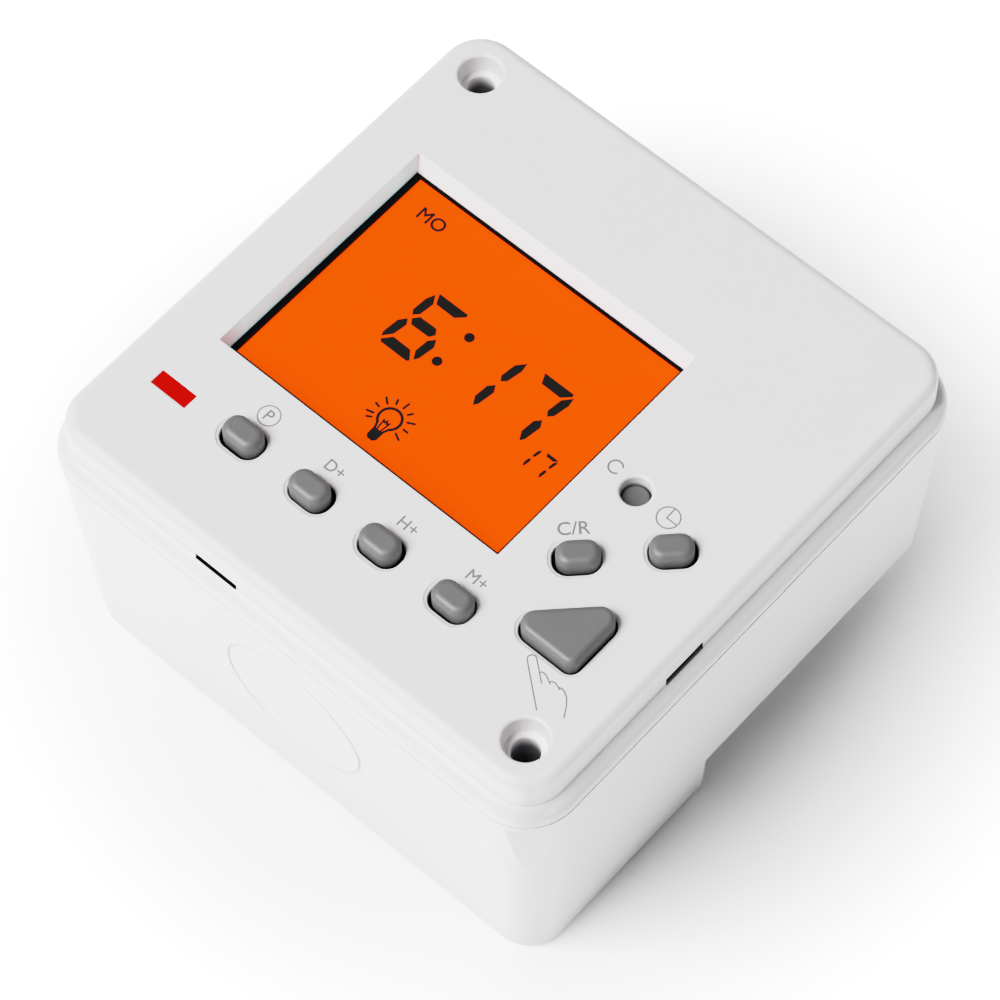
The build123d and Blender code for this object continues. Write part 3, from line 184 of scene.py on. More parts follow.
def fall(n, l, z, z_dark, z_light):
    mp = n.new("ShaderNodeMapRange")
    mp.interpolation_type = "SMOOTHSTEP"
    mp.inputs["From Min"].default_value = z_dark * MM
    mp.inputs["From Max"].default_value = z_light * MM
    mp.inputs["To Min"].default_value = 1.0
    mp.inputs["To Max"].default_value = 0.0
    l.new(z, mp.inputs["Value"])
    return mp.outputs["Result"]


def times(n, l, a, b, kind="MULTIPLY"):
    m = n.new("ShaderNodeMath")
    m.operation = kind
    l.new(a, m.inputs[0])
    l.new(b, m.inputs[1])
    return m.outputs[0]


def paint_hollow_shade(mat, boxes=(), ramps=(), tubes=(), z_only=None, keep=0.03, tint=(0.9, 0.9, 1.0), shine=True):
    """Painted shade: darken the colour of the deep places of a moulding, where gaps round keys, slots and bores hold
    next to no light, and, unless shine is off, dull their shine.
    """
    n, l = mat.node_tree.nodes, mat.node_tree.links
    b = n["Principled BSDF"]
    tc = n.new("ShaderNodeTexCoord")
    vec = tc.outputs["Object"]
    masks = [box_mask(n, l, vec, lo, hi, 0.03) for lo, hi in boxes]
    for lo, hi, z_dark, z_light in ramps:
        sep = n.new("ShaderNodeSeparateXYZ")
        l.new(vec, sep.inputs[0])
        masks.append(times(n, l, box_mask(n, l, vec, lo, hi), fall(n, l, sep.outputs["Z"], z_dark, z_light)))
    for t in tubes:
        masks.append(tube_mask(n, l, vec, *t))
    if z_only is not None:
        sep = n.new("ShaderNodeSeparateXYZ")
        l.new(vec, sep.inputs[0])
        masks.append(fall(n, l, sep.outputs["Z"], *z_only))
    total = masks[0]
    for m in masks[1:]:
        total = times(n, l, total, m, "MAXIMUM")
    src = b.inputs["Base Color"].links[0].from_socket
    dark = n.new("ShaderNodeMix")
    dark.data_type = "RGBA"
    dark.blend_type = "MIX"
    low = n.new("ShaderNodeMix")
    low.data_type = "RGBA"
    low.blend_type = "MULTIPLY"
    low.inputs["Factor"].default_value = 1.0
    l.new(src, low.inputs["A"])
    low.inputs["B"].default_value = (keep * tint[0], keep * tint[1], keep * tint[2], 1)
    l.new(total, dark.inputs["Factor"])
    l.new(src, dark.inputs["A"])
    l.new(low.outputs["Result"], dark.inputs["B"])
    l.new(dark.outputs["Result"], b.inputs["Base Color"])
    if shine:
        spec = b.inputs["Specular IOR Level"]
        dull = n.new("ShaderNodeMapRange")
        dull.inputs["To Min"].default_value = 1.0 if spec.is_linked else spec.default_value
        dull.inputs["To Max"].default_value = 0.0
        l.new(total, dull.inputs["Value"])
        last = dull.outputs["Result"]
        if spec.is_linked:
            last = times(n, l, last, spec.links[0].from_socket)
        l.new(last, spec)
    return mat


def paint_facing_light(mat, zones, z_low, z_high):
    """Painted light and shade on sloping sides of a recess and other surfaces, chosen by box and facing direction: the
    colour is multiplied by a tint, and a glow added as emission stands in for light that the lit room throws back in,
    weaker deep down.
    """
    n, l = mat.node_tree.nodes, mat.node_tree.links
    b = n["Principled BSDF"]
    tc = n.new("ShaderNodeTexCoord")
    sep = n.new("ShaderNodeSeparateXYZ")
    l.new(tc.outputs["Object"], sep.inputs[0])
    deep = fall(n, l, sep.outputs["Z"], z_low, z_high)
    last_base = b.inputs["Base Color"].links[0].from_socket
    last_painted_light = None
    for lo, hi, soft, facing, tint, glow in zones:
        dot = n.new("ShaderNodeVectorMath")
        dot.operation = "DOT_PRODUCT"
        dot.inputs[1].default_value = facing
        l.new(tc.outputs["Normal"], dot.inputs[0])
        ramp = n.new("ShaderNodeMapRange")
        ramp.interpolation_type = "SMOOTHSTEP"
        ramp.inputs["From Min"].default_value = 0.15
        ramp.inputs["From Max"].default_value = 0.75
        l.new(dot.outputs["Value"], ramp.inputs["Value"])
        mask = times(n, l, ramp.outputs["Result"], box_mask(n, l, tc.outputs["Object"], lo, hi, soft))
        mul = n.new("ShaderNodeMix")
        mul.data_type = "RGBA"
        mul.blend_type = "MULTIPLY"
        l.new(mask, mul.inputs["Factor"])
        l.new(last_base, mul.inputs["A"])
        mul.inputs["B"].default_value = (*tint, 1)
        last_base = mul.outputs["Result"]
        level = n.new("ShaderNodeMix")
        level.data_type = "RGBA"
        l.new(deep, level.inputs["Factor"])
        level.inputs["A"].default_value = (*glow, 1)
        level.inputs["B"].default_value = (*[g * 0.72 for g in glow], 1)
        lit = n.new("ShaderNodeMix")
        lit.data_type = "RGBA"
        l.new(mask, lit.inputs["Factor"])
        if last_painted_light is None:
            lit.inputs["A"].default_value = (0, 0, 0, 1)
        else:
            l.new(last_painted_light, lit.inputs["A"])
        l.new(level.outputs["Result"], lit.inputs["B"])
        last_painted_light = lit.outputs["Result"]
    l.new(last_base, b.inputs["Base Color"])
    l.new(last_painted_light, b.inputs["Emission Color"])
    b.inputs["Emission Strength"].default_value = 1.0
    return mat


def plastic(name, colour, rough=0.42, rough_var=0.06, tint=0.03, grain=0.10, grain_depth=0.006,
            wave=6.0, wave_depth=0.0, specular=0.5, emission=None, emission_strength=1.0, sss=0.0,
            coat=0.0, metallic=0.0, round_edges=0.0, patch=9.0):
    """Moulded surface: fine spark-erosion grain, soft roughness clouds, slight tone drift."""
    mat, n, l, b = new_mat(name)
    tc = n.new("ShaderNodeTexCoord")
    drift = node(n, "ShaderNodeTexNoise", Scale=1000.0 / patch, Detail=3.0, Roughness=0.55)
    l.new(tc.outputs["Object"], drift.inputs["Vector"])
    ramp = n.new("ShaderNodeValToRGB")
    lo = [c * (1 - tint) for c in colour]
    hi = [min(1.0, c * (1 + tint)) for c in colour]
    ramp.color_ramp.elements[0].position = 0.30
    ramp.color_ramp.elements[0].color = (*lo, 1)
    ramp.color_ramp.elements[1].position = 0.70
    ramp.color_ramp.elements[1].color = (*hi, 1)
    l.new(drift.outputs["Fac"], ramp.inputs["Fac"])
    l.new(ramp.outputs["Color"], b.inputs["Base Color"])
    clouds = node(n, "ShaderNodeTexNoise", Scale=1000.0 / 3.0, Detail=4.0, Roughness=0.6)
    l.new(tc.outputs["Object"], clouds.inputs["Vector"])
    rmap = node(n, "ShaderNodeMapRange", To_Min=rough - rough_var, To_Max=rough + rough_var)
    l.new(clouds.outputs["Fac"], rmap.inputs["Value"])
    l.new(rmap.outputs["Result"], b.inputs["Roughness"])
    fine = node(n, "ShaderNodeTexNoise", Scale=1000.0 / grain, Detail=2.0, Roughness=0.5)
    l.new(tc.outputs["Object"], fine.inputs["Vector"])
    bump = node(n, "ShaderNodeBump", Strength=0.5, Distance=grain_depth * MM)
    l.new(fine.outputs["Fac"], bump.inputs["Height"])
    last = bump
    if round_edges > 0:
        bev = n.new("ShaderNodeBevel")
        bev.samples = 4
        bev.inputs["Radius"].default_value = round_edges * MM
        l.new(bev.outputs["Normal"], bump.inputs["Normal"])
    if wave_depth > 0:
        slow = node(n, "ShaderNodeTexNoise", Scale=1000.0 / wave, Detail=1.0)
        l.new(tc.outputs["Object"], slow.inputs["Vector"])
        bump2 = node(n, "ShaderNodeBump", Strength=0.5, Distance=wave_depth * MM)
        l.new(slow.outputs["Fac"], bump2.inputs["Height"])
        l.new(bump.outputs["Normal"], bump2.inputs["Normal"])
        last = bump2
    l.new(last.outputs["Normal"], b.inputs["Normal"])
    b.inputs["Specular IOR Level"].default_value = specular
    b.inputs["Metallic"].default_value = metallic
    if sss > 0:
        b.inputs["Subsurface Weight"].default_value = sss
        b.inputs["Subsurface Radius"].default_value = (1.0, 0.9, 0.8)
        b.inputs["Subsurface Scale"].default_value = 0.0006
    if coat > 0:
        b.inputs["Coat Weight"].default_value = coat
        b.inputs["Coat Roughness"].default_value = 0.12
    if emission is not None:
        glow = node(n, "ShaderNodeTexNoise", Scale=1000.0 / 14.0, Detail=1.0)
        l.new(tc.outputs["Object"], glow.inputs["Vector"])
        gr = n.new("ShaderNodeValToRGB")
        gr.color_ramp.elements[0].position = 0.25
        gr.color_ramp.elements[0].color = (*[c * 0.97 for c in emission], 1)
        gr.color_ramp.elements[1].position = 0.75
        gr.color_ramp.elements[1].color = (*emission, 1)
        l.new(glow.outputs["Fac"], gr.inputs["Fac"])
        l.new(gr.outputs["Color"], b.inputs["Emission Color"])
        b.inputs["Emission Strength"].default_value = emission_strength
    return mat


def metal(name, colour, rough=0.3, rough_var=0.1, brush=(40.0, 40.0, 900.0), depth=0.002, blotch=0.08):
    """Plated or brushed metal: streaks stretched along one axis, faint blotches in the plating."""
    mat, n, l, b = new_mat(name)
    tc = n.new("ShaderNodeTexCoord")
    mapping = n.new("ShaderNodeMapping")
    mapping.inputs["Scale"].default_value = brush
    l.new(tc.outputs["Object"], mapping.inputs["Vector"])
    streak = node(n, "ShaderNodeTexNoise", Scale=12.0, Detail=4.0, Roughness=0.6)
    l.new(mapping.outputs["Vector"], streak.inputs["Vector"])
    rmap = node(n, "ShaderNodeMapRange", To_Min=rough - rough_var, To_Max=rough + rough_var)
    l.new(streak.outputs["Fac"], rmap.inputs["Value"])
    l.new(rmap.outputs["Result"], b.inputs["Roughness"])
    spots = node(n, "ShaderNodeTexNoise", Scale=700.0, Detail=3.0)
    l.new(tc.outputs["Object"], spots.inputs["Vector"])
    ramp = n.new("ShaderNodeValToRGB")
    ramp.color_ramp.elements[0].position = 0.35
    ramp.color_ramp.elements[0].color = (*[c * (1 - blotch) for c in colour], 1)
    ramp.color_ramp.elements[1].position = 0.65
    ramp.color_ramp.elements[1].color = (*colour, 1)
    l.new(spots.outputs["Fac"], ramp.inputs["Fac"])
    l.new(ramp.outputs["Color"], b.inputs["Base Color"])
    bump = node(n, "ShaderNodeBump", Strength=0.4, Distance=depth * MM)
    l.new(streak.outputs["Fac"], bump.inputs["Height"])
    l.new(bump.outputs["Normal"], b.inputs["Normal"])
    b.inputs["Metallic"].default_value = 1.0
    return mat


def board(name):
    """Solder mask over woven laminate, with fine copper runs showing through as a lighter green."""
    mat, n, l, b = new_mat(name)
    tc = n.new("ShaderNodeTexCoord")
    brick = n.new("ShaderNodeTexBrick")
    brick.inputs["Color1"].default_value = (0.020, 0.150, 0.055, 1)
    brick.inputs["Color2"].default_value = (0.018, 0.130, 0.050, 1)
    brick.inputs["Mortar"].default_value = (0.040, 0.230, 0.085, 1)
    brick.inputs["Scale"].default_value = 260.0
    brick.inputs["Mortar Size"].default_value = 0.06
    l.new(tc.outputs["Object"], brick.inputs["Vector"])
    l.new(brick.outputs["Color"], b.inputs["Base Color"])
    weave = node(n, "ShaderNodeTexNoise", Scale=2500.0, Detail=2.0)
    l.new(tc.outputs["Object"], weave.inputs["Vector"])
    rmap = node(n, "ShaderNodeMapRange", To_Min=0.28, To_Max=0.42)
    l.new(weave.outputs["Fac"], rmap.inputs["Value"])
    l.new(rmap.outputs["Result"], b.inputs["Roughness"])
    bump = node(n, "ShaderNodeBump", Strength=0.4, Distance=0.00001)
    l.new(brick.outputs["Fac"], bump.inputs["Height"])
    l.new(bump.outputs["Normal"], b.inputs["Normal"])
    return mat


def clear(name, colour, rough=0.05, transmission=0.9):
    mat, n, l, b = new_mat(name)
    tc = n.new("ShaderNodeTexCoord")
    film = node(n, "ShaderNodeTexNoise", Scale=250.0, Detail=3.0)
    l.new(tc.outputs["Object"], film.inputs["Vector"])
    rmap = node(n, "ShaderNodeMapRange", To_Min=rough * 0.6, To_Max=rough * 1.6)
    l.new(film.outputs["Fac"], rmap.inputs["Value"])
    l.new(rmap.outputs["Result"], b.inputs["Roughness"])
    ramp = n.new("ShaderNodeValToRGB")
    ramp.color_ramp.elements[0].color = (*[c * 0.96 for c in colour], 1)
    ramp.color_ramp.elements[1].color = (*colour, 1)
    l.new(film.outputs["Fac"], ramp.inputs["Fac"])
    l.new(ramp.outputs["Color"], b.inputs["Base Color"])
    b.inputs["Transmission Weight"].default_value = transmission
    b.inputs["IOR"].default_value = 1.5
    return mat


MATS = {
    "cover_white": plastic("cover_white", (0.818, 0.796, 0.806), rough=0.44, tint=0.008, grain=0.16,
                           grain_depth=0.004, sss=0.05, round_edges=0.20),
    "base_white": plastic("base_white", (0.798, 0.782, 0.789), rough=0.40, tint=0.008, grain=0.20,
                          grain_depth=0.003, sss=0.05, round_edges=0.15, wave=7.0, wave_depth=0.004),
    "key_grey": plastic("key_grey", (0.157, 0.155, 0.156), rough=0.52, tint=0.03, grain=0.14,
                        grain_depth=0.005, round_edges=0.10, patch=3.0, specular=0.85),
    # painted shade: a darker copy of the key grey for the clear key, which sits shaded deep in its well
    "key_grey_painted_shade": plastic("key_grey_painted_shade", (0.125, 0.125, 0.127), rough=0.42, tint=0.03, grain=0.14,
                       grain_depth=0.005, round_edges=0.10, patch=3.0, specular=0.6),
    "window_red": plastic("window_red", (0.28, 0.002, 0.0), rough=0.35, rough_var=0.04, tint=0.04, grain=0.5,
                          grain_depth=0.001, specular=0.02, emission=(0.185, 0.001, 0.001)),
    "frame_black": plastic("frame_black", (0.0025, 0.0025, 0.003), rough=0.60, tint=0.1, specular=0.04),
    "display_orange": plastic("display_orange", (0.26, 0.022, 0.0), rough=0.55, rough_var=0.03, tint=0.01,
                              grain=0.25, grain_depth=0.001, emission=(0.86, 0.056, 0.0), specular=0.02),
    "display_glass": clear("display_glass", (0.92, 0.95, 0.93)),
    "rear_film": plastic("rear_film", (0.50, 0.45, 0.38), rough=0.25, tint=0.04),
    "light_guide": clear("light_guide", (0.95, 0.93, 0.88), rough=0.15, transmission=0.5),
    "led_chip": plastic("led_chip", (0.85, 0.65, 0.25), rough=0.25, tint=0.05),
    "elastomer": plastic("elastomer", (0.62, 0.34, 0.40), rough=0.60, tint=0.06, grain=0.18),
    "board_green": board("board_green"),
    "screw_steel": metal("screw_steel", (0.62, 0.61, 0.58), rough=0.32),
    "switch_black": plastic("switch_black", (0.020, 0.020, 0.021), rough=0.48, tint=0.10, grain_depth=0.01),
    "dome_steel": metal("dome_steel", (0.70, 0.69, 0.67), rough=0.22),
    "plunger_ivory": plastic("plunger_ivory", (0.70, 0.66, 0.54), rough=0.45),
    "led_red": plastic("led_red", (0.60, 0.02, 0.02), rough=0.15, tint=0.05, coat=0.4),
    "chip_black": plastic("chip_black", (0.022, 0.022, 0.024), rough=0.55, tint=0.12, grain=0.08, grain_depth=0.012),
    "can_steel": metal("can_steel", (0.72, 0.72, 0.71), rough=0.25, brush=(300.0, 300.0, 40.0)),
    "contact_gold": metal("contact_gold", (0.83, 0.61, 0.28), rough=0.25),
    "relay_blue": plastic("relay_blue", (0.018, 0.080, 0.300), rough=0.40, tint=0.06),
    "capacitor_yellow": plastic("capacitor_yellow", (0.72, 0.46, 0.05), rough=0.42, tint=0.05),
    "sleeve_black": plastic("sleeve_black", (0.018, 0.018, 0.030), rough=0.25, tint=0.1, wave=2.0, wave_depth=0.02),
    "varistor_blue": plastic("varistor_blue", (0.030, 0.130, 0.360), rough=0.30, tint=0.08, wave=1.5, wave_depth=0.03),
    "fuse_ceramic": plastic("fuse_ceramic", (0.76, 0.73, 0.66), rough=0.30, tint=0.05),
    "diode_black": plastic("diode_black", (0.022, 0.022, 0.024), rough=0.45, tint=0.1),
    "resistor_beige": plastic("resistor_beige", (0.58, 0.45, 0.28), rough=0.35, tint=0.08, wave=1.2, wave_depth=0.02),
    "terminal_plastic": plastic("terminal_plastic", (0.60, 0.60, 0.585), rough=0.45, tint=0.03, grain=0.16,
                                grain_depth=0.010, round_edges=0.10),
    "terminal_brass": metal("terminal_brass", (0.80, 0.62, 0.32), rough=0.30, brush=(400.0, 40.0, 400.0)),
}
INK = plastic("ink_grey", (0.225, 0.22, 0.22), rough=0.55, tint=0.05, grain=0.12, grain_depth=0.004)
SEGMENT = plastic("segment_dark", (0.010, 0.009, 0.008), rough=0.50, tint=0.08, specular=0.10)

# painted light and shade on the cover: glow and tint on the display window's left and top bevels, the sides facing +X
# and -Y tinted darker, glow on the right rounding and the shoulder foot
paint_facing_light(MATS["cover_white"], [
    ((-29.5, -13.2, 28.0), (-15.5, 14.6, 39.0), 3.6, (1.0, 0.0, 0.0), (0.85, 1.10, 1.14), (0.079, 0.283, 0.300)),
    ((-23.4, 8.0, 28.0), (11.4, 21.0, 39.0), 3.6, (0.0, -1.0, 0.0), (0.95, 1.08, 1.10), (0.01, 0.11, 0.13)),
    ((27.0, -34.0, 20.0), (34.0, 34.0, 39.0), 0.6, (1.0, 0.0, 0.0), (0.80, 0.805, 0.805), (0.0, 0.0, 0.0)),
    ((27.2, -34.0, 33.6), (29.8, 34.0, 36.2), 0.5, (1.0, 0.0, 0.3), (1.0, 1.0, 1.0), (0.085, 0.085, 0.085)),
    ((28.6, -27.5, 31.0), (30.6, 27.5, 32.4), 0.4, (0.0, 0.0, 1.0), (1.0, 1.0, 1.0), (0.060, 0.060, 0.060)),
    ((28.8, -27.5, 30.4), (30.05, 27.5, 33.0), 0.25, (0.0, 0.0, 1.0), (1.0, 1.0, 1.0), (0.150, 0.150, 0.150)),
    ((-34.0, -34.0, 20.0), (34.0, -27.0, 39.0), 0.6, (0.0, -1.0, 0.0), (0.93, 0.93, 0.93), (0.0, 0.0, 0.0)),
], 32.8, 34.8)
# painted shade: the base's two outer sides, facing +X and -Y, are tinted a shade deeper than the face
paint_facing_light(MATS["base_white"], [
    ((24.0, -34.0, -5.0), (34.0, 34.0, 39.0), 0.6, (1.0, 0.0, 0.0), (0.85, 0.855, 0.855), (0.0, 0.0, 0.0)),
    ((-34.0, -34.0, -5.0), (34.0, -24.0, 39.0), 0.6, (0.0, -1.0, 0.0), (0.93, 0.93, 0.93), (0.0, 0.0, 0.0)),
], 32.8, 34.8)
# painted shade in the deep places of the cover: the snap slots in the side walls go near black, the gaps round the
# keys, the clear key's well and the screw bores darken
paint_hollow_shade(MATS["cover_white"],
        boxes=[((-10.56, -28.94, 31.1), (-5.64, -25.0, 31.95)), ((25.0, -11.11, 31.1), (28.94, -6.19, 32.22)),
               ((5.94, 25.0, 31.1), (10.86, 28.94, 32.07)), ((-28.94, 5.94, 31.1), (-25.0, 10.86, 32.07))], keep=0.004)
paint_hollow_shade(MATS["cover_white"],
        ramps=[((-17.5, -21.2, 28), (14.8, -16.2, 36), 34.40, 34.82), ((13.0, -19.0, 28), (25.2, -1.35, 36), 34.40, 34.82),
               ((17.3, -1.5, 28), (25.2, 3.0, 36), 34.40, 34.82)],
        tubes=[(15.59, 0.18, 1.72, 33.0, 34.25)])
paint_hollow_shade(MATS["cover_white"], tubes=[(-24.4, 24.4, 1.42, 30.8, 32.6), (24.4, -24.4, 1.42, 30.8, 32.6)], keep=0.20, shine=False)
# painted shade: the base above z 29.75, under the cover and seen through the slots, goes near black, and its screw
# bores darken
paint_hollow_shade(MATS["base_white"], boxes=[((-29.5, -29.5, 29.75), (29.5, 29.5, 34.9))], keep=0.004)
paint_hollow_shade(MATS["base_white"], tubes=[(-24.4, 24.4, 1.42, 29.5, 29.6), (24.4, -24.4, 1.42, 29.5, 29.6)], keep=0.25, shine=False)
# painted shade: the key sides go darker towards their foot, down in the gap
paint_hollow_shade(MATS["key_grey"], z_only=(34.35, 34.80), keep=0.05)

slot_of = {s["node"]: s["material_slot"] for s in frame["record"].get("subparts", [])}
for name, ob in nodes.items():
    # the clear key takes the darker, painted-shade copy of the key grey
    mat = MATS["key_grey_painted_shade" if name == "key_clear" else slot_of[name]]
    for s in ob.material_slots:
        s.material = mat


# ------------------------------------------------------------------ flat printed pieces
def circle(cx, cy, r, n=40, a0=0.0, a1=360.0):
    full = abs(a1 - a0) >= 360.0
    steps = n if full else n + 1
    return [(cx + r * math.cos(math.radians(a0 + (a1 - a0) * i / n)),
             cy + r * math.sin(math.radians(a0 + (a1 - a0) * i / n))) for i in range(steps)]


def stroke(points, width, closed=False):
    """Polygons that cover a line of that width: one quad per run and a round dot on each corner."""
    out = []
    h = width / 2
    pts = list(points)
    runs = list(zip(pts, pts[1:] + pts[:1])) if closed else list(zip(pts, pts[1:]))
    for (x0, y0), (x1, y1) in runs:
        d = math.hypot(x1 - x0, y1 - y0)
        if d < 1e-6:
            continue
        nx, ny = -(y1 - y0) / d * h, (x1 - x0) / d * h
        out.append([(x0 + nx, y0 + ny), (x0 - nx, y0 - ny), (x1 - nx, y1 - ny), (x1 + nx, y1 + ny)])
    for x, y in pts:
        out.append(circle(x, y, h, 14))
    return out


def within(poly, x, y):
    odd = False
    for (x0, y0), (x1, y1) in zip(poly, poly[1:] + poly[:1]):
        if (y0 > y) != (y1 > y) and x < x0 + (y - y0) * (x1 - x0) / (y1 - y0):
            odd = not odd
    return odd


def flat_piece(name, polys, z, thick, mat, body="housing", place=None):
    """Union of the polygons (mm) as one thin solid with its underside at z."""
    co, faces = [], []
    for poly in polys:
        base = len(co)
        co += [Vector((x, y)) for x, y in poly]
        faces.append(list(range(base, base + len(poly))))
    v2, edges, f2, *_ = delaunay_2d_cdt(co, [], faces, 0, 1e-6)
    boxed = [(min(q[0] for q in poly), max(q[0] for q in poly), min(q[1] for q in poly), max(q[1] for q in poly), poly)
             for poly in polys]

    def covered(x, y):
        return any(x0 <= x <= x1 and y0 <= y <= y1 and within(poly, x, y) for x0, x1, y0, y1, poly in boxed)

    f2 = [f for f in f2 if covered(sum(v2[i].x for i in f) / len(f), sum(v2[i].y for i in f) / len(f))]
    bm = bmesh.new()
    top, low = [], []
    for v in v2:
        p = Vector((v.x, v.y, 0))
        if place is not None:
            p = place @ p
        low.append(bm.verts.new((p.x * MM, p.y * MM, z * MM)))
        top.append(bm.verts.new((p.x * MM, p.y * MM, (z + thick) * MM)))
    count = {}
    for f in f2:
        if len(f) < 3:
            continue
        a = sum(v2[f[i]].x * v2[f[(i + 1) % len(f)]].y - v2[f[(i + 1) % len(f)]].x * v2[f[i]].y for i in range(len(f)))
        f = list(f) if a > 0 else list(reversed(f))
        if abs(a) < 1e-10:
            continue
        bm.faces.new([top[i] for i in f])
        bm.faces.new([low[i] for i in reversed(f)])
        for i in range(len(f)):
            e = (f[i], f[(i + 1) % len(f)])
            count[e] = count.get(e, 0) + 1
    for (i, j) in count:
        if (j, i) not in count:
            bm.faces.new([low[i], low[j], top[j], top[i]])
    loose = [v for v in bm.verts if not v.link_faces]
    bmesh.ops.delete(bm, geom=loose, context="VERTS")
    bmesh.ops.recalc_face_normals(bm, faces=bm.faces)
    me = bpy.data.meshes.new(name)
    bm.to_mesh(me)
    bm.free()
    ob = bpy.data.objects.new(name, me)
    col.objects.link(ob)
    me.materials.append(mat)
    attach(ob, body)
    return ob


def text_polys(word, cx, cy, height, turn=0.0, squeeze=1.0, bold=0.016):
    """Outline of plain lettering, cap height in mm, centred at (cx, cy), thickened by bold on every side."""
    cu = bpy.data.curves.new("t_" + word, "FONT")
    cu.body = word
    cu.size = 1.0
    cu.resolution_u = 6
    ob = bpy.data.objects.new("t_" + word, cu)
    col.objects.link(ob)
    bpy.context.view_layer.update()
    me = bpy.data.meshes.new_from_object(ob)
    co = [Vector((v.co.x, v.co.y)) for v in me.vertices]
    faces = [[vi for vi in p.vertices] for p in me.polygons]
    lo = Vector((min(c.x for c in co), min(c.y for c in co)))
    hi = Vector((max(c.x for c in co), max(c.y for c in co)))
    s = height / (hi.y - lo.y)
    ca, sa = math.cos(math.radians(turn)), math.sin(math.radians(turn))
    mid = (lo + hi) / 2
    out = []
    for f in faces:
        ring = []
        for vi in f:
            x = (co[vi].x - mid.x) * s * squeeze
            y = (co[vi].y - mid.y) * s
            ring.append((cx + x * ca - y * sa, cy + x * sa + y * ca))
        out += [[(x + ox, y + oy) for x, y in ring] for ox in (-bold, bold) for oy in (-bold, bold)]
    bpy.data.objects.remove(ob)
    bpy.data.curves.remove(cu)
    bpy.data.meshes.remove(me)
    return out


# what lies at the depth of the display is shifted from where it appears on the plane of the face
def on_lcd(polys, dx=-0.92, dy=0.99):
    return [[(x + dx, y + dy) for x, y in p] for p in polys]


SEG = {
    "a": [(0.40, 7.42), (1.02, 6.38), (3.24, 6.36), (3.94, 7.14), (3.84, 7.42)],
    "f": [(0.21, 7.10), (-0.06, 6.20), (0.04, 4.58), (0.43, 4.12), (0.86, 4.62), (0.86, 6.22)],
    "g": [(0.70, 3.84), (1.11, 3.30), (3.24, 3.34), (3.52, 3.90), (3.06, 4.45), (1.11, 4.42)],
    "e": [(0.45, 3.58), (-0.05, 2.86), (0.00, 1.10), (0.23, 0.64), (0.84, 1.50), (0.90, 2.98)],
    "d": [(0.45, 0.40), (0.66, 0.14), (3.80, 0.14), (3.98, 0.36), (3.16, 1.25), (1.08, 1.28)],
}
SEG["b"] = [(4.37 - x, y) for x, y in reversed(SEG["f"])]
SEG["c"] = [(4.37 - x, y) for x, y in reversed(SEG["e"])]
DIGIT = {"0": "abcdef", "1": "bc", "2": "abged", "3": "abgcd", "4": "fgbc", "5": "afgcd", "6": "afgedc",
         "7": "abc", "8": "abcdefg", "9": "abcdfg"}


def digit(ch, x0, y0, scale=1.0, thin=1.0):
    out = []
    for s in DIGIT[ch]:
        poly = SEG[s]
        mx = sum(p[0] for p in poly) / len(poly)
        my = sum(p[1] for p in poly) / len(poly)
        ring = []
        for x, y in poly:
            if s in "bcef":
                x = mx + (x - mx) * thin
            else:
                y = my + (y - my) * thin
            ring.append((x0 + (x + y * 0.1246) * scale, y0 + y * scale))
        out.append(ring)
    return out


digits = digit("6", -12.52, -3.37) + digit("1", -5.31, -3.37) + digit("7", 0.25, -3.37)
digits += [circle(-6.05, 2.35, 0.50, 20), circle(-6.58, -1.42, 0.50, 20)]
digits += digit("1", 4.88, -4.70, 0.362, 0.95) + digit("7", 6.73, -4.70, 0.362, 0.95)
flat_piece("display_digits", on_lcd(digits), LCD_Z, 0.02, SEGMENT)
flat_piece("display_weekday", on_lcd(text_polys("MO", -17.05, 9.5, 1.38, squeeze=1.0, bold=0.022)), LCD_Z, 0.02, SEGMENT)

# lamp sign: round bulb, collar, coiled filament and short rays
bx, by = -5.70, -8.70
lamp = stroke(circle(bx, by, 1.12, 40, -52, 232), 0.28)
lamp += stroke([(bx + 1.12 * math.cos(math.radians(-52)), by + 1.12 * math.sin(math.radians(-52))), (bx + 0.45, by - 1.45)], 0.24)
lamp += stroke([(bx - 1.12 * math.cos(math.radians(-52)), by + 1.12 * math.sin(math.radians(-52))), (bx - 0.45, by - 1.45)], 0.24)
lamp += [[(bx - 0.58, by - 1.45), (bx - 0.55, by - 2.42), (bx - 0.30, by - 2.72), (bx + 0.30, by - 2.72),
          (bx + 0.55, by - 2.42), (bx + 0.58, by - 1.45)]]
lamp += stroke([(bx - 0.22, by - 1.4), (bx - 0.34, by - 0.35), (bx - 0.12, by - 0.60), (bx, by - 0.25), (bx + 0.12, by - 0.60),
                (bx + 0.34, by - 0.35), (bx + 0.22, by - 1.4)], 0.16)
for k, ang in enumerate((-28, 0, 28, 56, 84, 112, 140, 168, 196, 212)):
    r0, r1 = (1.62, 2.30) if k % 2 == 0 else (1.66, 2.12)
    ca, sa = math.cos(math.radians(ang)), math.sin(math.radians(ang))
    lamp += stroke([(bx + r0 * ca, by + r0 * sa), (bx + r1 * ca, by + r1 * sa)], 0.22)
flat_piece("display_lamp", on_lcd(lamp), LCD_Z, 0.02, SEGMENT)

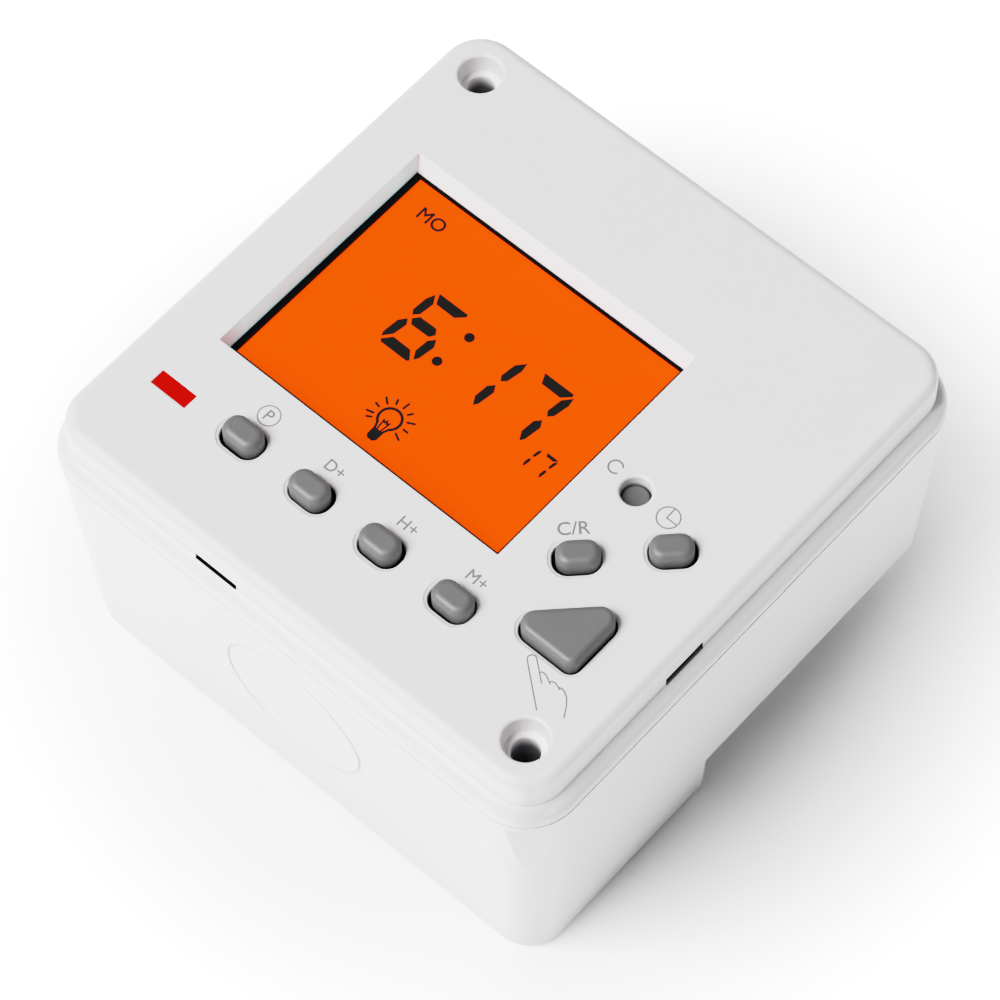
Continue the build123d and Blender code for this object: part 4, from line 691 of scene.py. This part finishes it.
# outline of a pointing finger, a plain pictogram of this model's own
def finger(x0, y0, turn, k):
    """Straight forefinger with a round tip, three curled fingers beside it and an open wrist."""
    pts = [(-0.42, -4.9), (-0.42, 0.0)]
    pts += circle(0.0, 0.0, 0.42, 8, 180, 0)
    pts += [(0.42, -1.38), (0.42, -2.40)]
    pts += [(0.42, -1.38), (0.62, -1.36), (0.82, -1.52), (0.98, -1.85), (1.08, -2.35), (1.12, -2.62)]
    pts += [(1.10, -2.45), (1.34, -2.40), (1.60, -2.62), (1.76, -3.00), (1.84, -3.28)]
    pts += [(1.84, -3.10), (2.06, -3.22), (2.24, -3.60), (2.30, -4.20), (2.16, -4.90), (1.76, -6.00)]
    ca, sa = math.cos(math.radians(turn)), math.sin(math.radians(turn))
    return [(x0 + k * (x * ca - y * sa), y0 + k * (x * sa + y * ca)) for x, y in pts]


HAND = finger(19.73, -18.30, 51.0, 1.0)

# grey marks printed beside the keys
marks = {
    "mark_program": stroke(circle(-13.9, -15.5, 1.05, 40), 0.13, True) + text_polys("P", -13.88, -15.5, 1.12),
    "mark_day": text_polys("D+", -5.75, -15.62, 1.12),
    "mark_hour": text_polys("H+", 2.95, -15.62, 1.12),
    "mark_minute": text_polys("M+", 11.05, -15.62, 1.12),
    "mark_clear": stroke(circle(12.66, 0.83, 0.66, 36, 36, 318), 0.19),
    "mark_clock": stroke(circle(19.5, 0.0, 1.08, 40), 0.14, True) + stroke([(19.38, 1.0), (19.38, -0.12), (20.5, -0.12)], 0.14),
    "mark_finger": stroke(HAND, 0.13),
    "mark_recall": text_polys("C/R", 13.95, -6.25, 1.30, turn=45),
}
for name, polys in marks.items():
    flat_piece(name, polys, FACE_Z, 0.012, INK)

# terminal numbers on the back, the right way round for someone who looks at the back
numbers = []
for i, x in enumerate((16.0, 8.0, 0.0, -8.0, -16.0)):
    for ring in text_polys(str(i + 1), x, 2.9, 1.9, bold=0.03):
        numbers.append([(2 * x - px, py) for px, py in reversed(ring)])
flat_piece("terminal_numbers", numbers, 5.5 - 0.012, 0.012, INK)

# ------------------------------------------------------------------ floor
me = bpy.data.meshes.new("floor")
bm = bmesh.new()
bmesh.ops.create_grid(bm, x_segments=8, y_segments=8, size=3.0)
bm.to_mesh(me)
bm.free()
floor = bpy.data.objects.new("floor", me)
col.objects.link(floor)
sweep = plastic("floor_pale", (0.96, 0.96, 0.96), rough=0.8, tint=0.01, grain=2.0, patch=200.0, grain_depth=0.02, specular=0.2)
fn, fl = sweep.node_tree.nodes, sweep.node_tree.links
f_tc = fn.new("ShaderNodeTexCoord")
f_len = fn.new("ShaderNodeVectorMath")
f_len.operation = "LENGTH"
fl.new(f_tc.outputs["Object"], f_len.inputs[0])
# painted light: the floor glows in a ring round the object, none at its foot, brightest a little way out and fading
# further off; its own colour is a little dimmer further off
f_out = []
for r0, r1, v0, v1 in ((0.030, 0.062, 0.0, 0.80), (0.095, 0.20, 1.0, 0.0), (0.10, 0.24, 1.0, 0.62)):
    f_map = fn.new("ShaderNodeMapRange")
    f_map.interpolation_type = "SMOOTHSTEP"
    f_map.inputs["From Min"].default_value = r0
    f_map.inputs["From Max"].default_value = r1
    f_map.inputs["To Min"].default_value = v0
    f_map.inputs["To Max"].default_value = v1
    fl.new(f_len.outputs["Value"], f_map.inputs["Value"])
    f_out.append(f_map.outputs["Result"])
f_painted_glow = times(fn, fl, f_out[0], f_out[1])
f_mix = fn.new("ShaderNodeCombineXYZ")
for side in ("X", "Y", "Z"):
    fl.new(f_painted_glow, f_mix.inputs[side])
f_tone = fn.new("ShaderNodeMix")
f_tone.data_type = "RGBA"
f_tone.inputs["A"].default_value = (0.0, 0.0, 0.0, 1)
fl.new(fn["Principled BSDF"].inputs["Base Color"].links[0].from_socket, f_tone.inputs["B"])
fl.new(f_out[2], f_tone.inputs["Factor"])
fl.new(f_tone.outputs["Result"], fn["Principled BSDF"].inputs["Base Color"])
fl.new(f_mix.outputs[0], fn["Principled BSDF"].inputs["Emission Color"])
fn["Principled BSDF"].inputs["Emission Strength"].default_value = 1.0
me.materials.append(sweep)
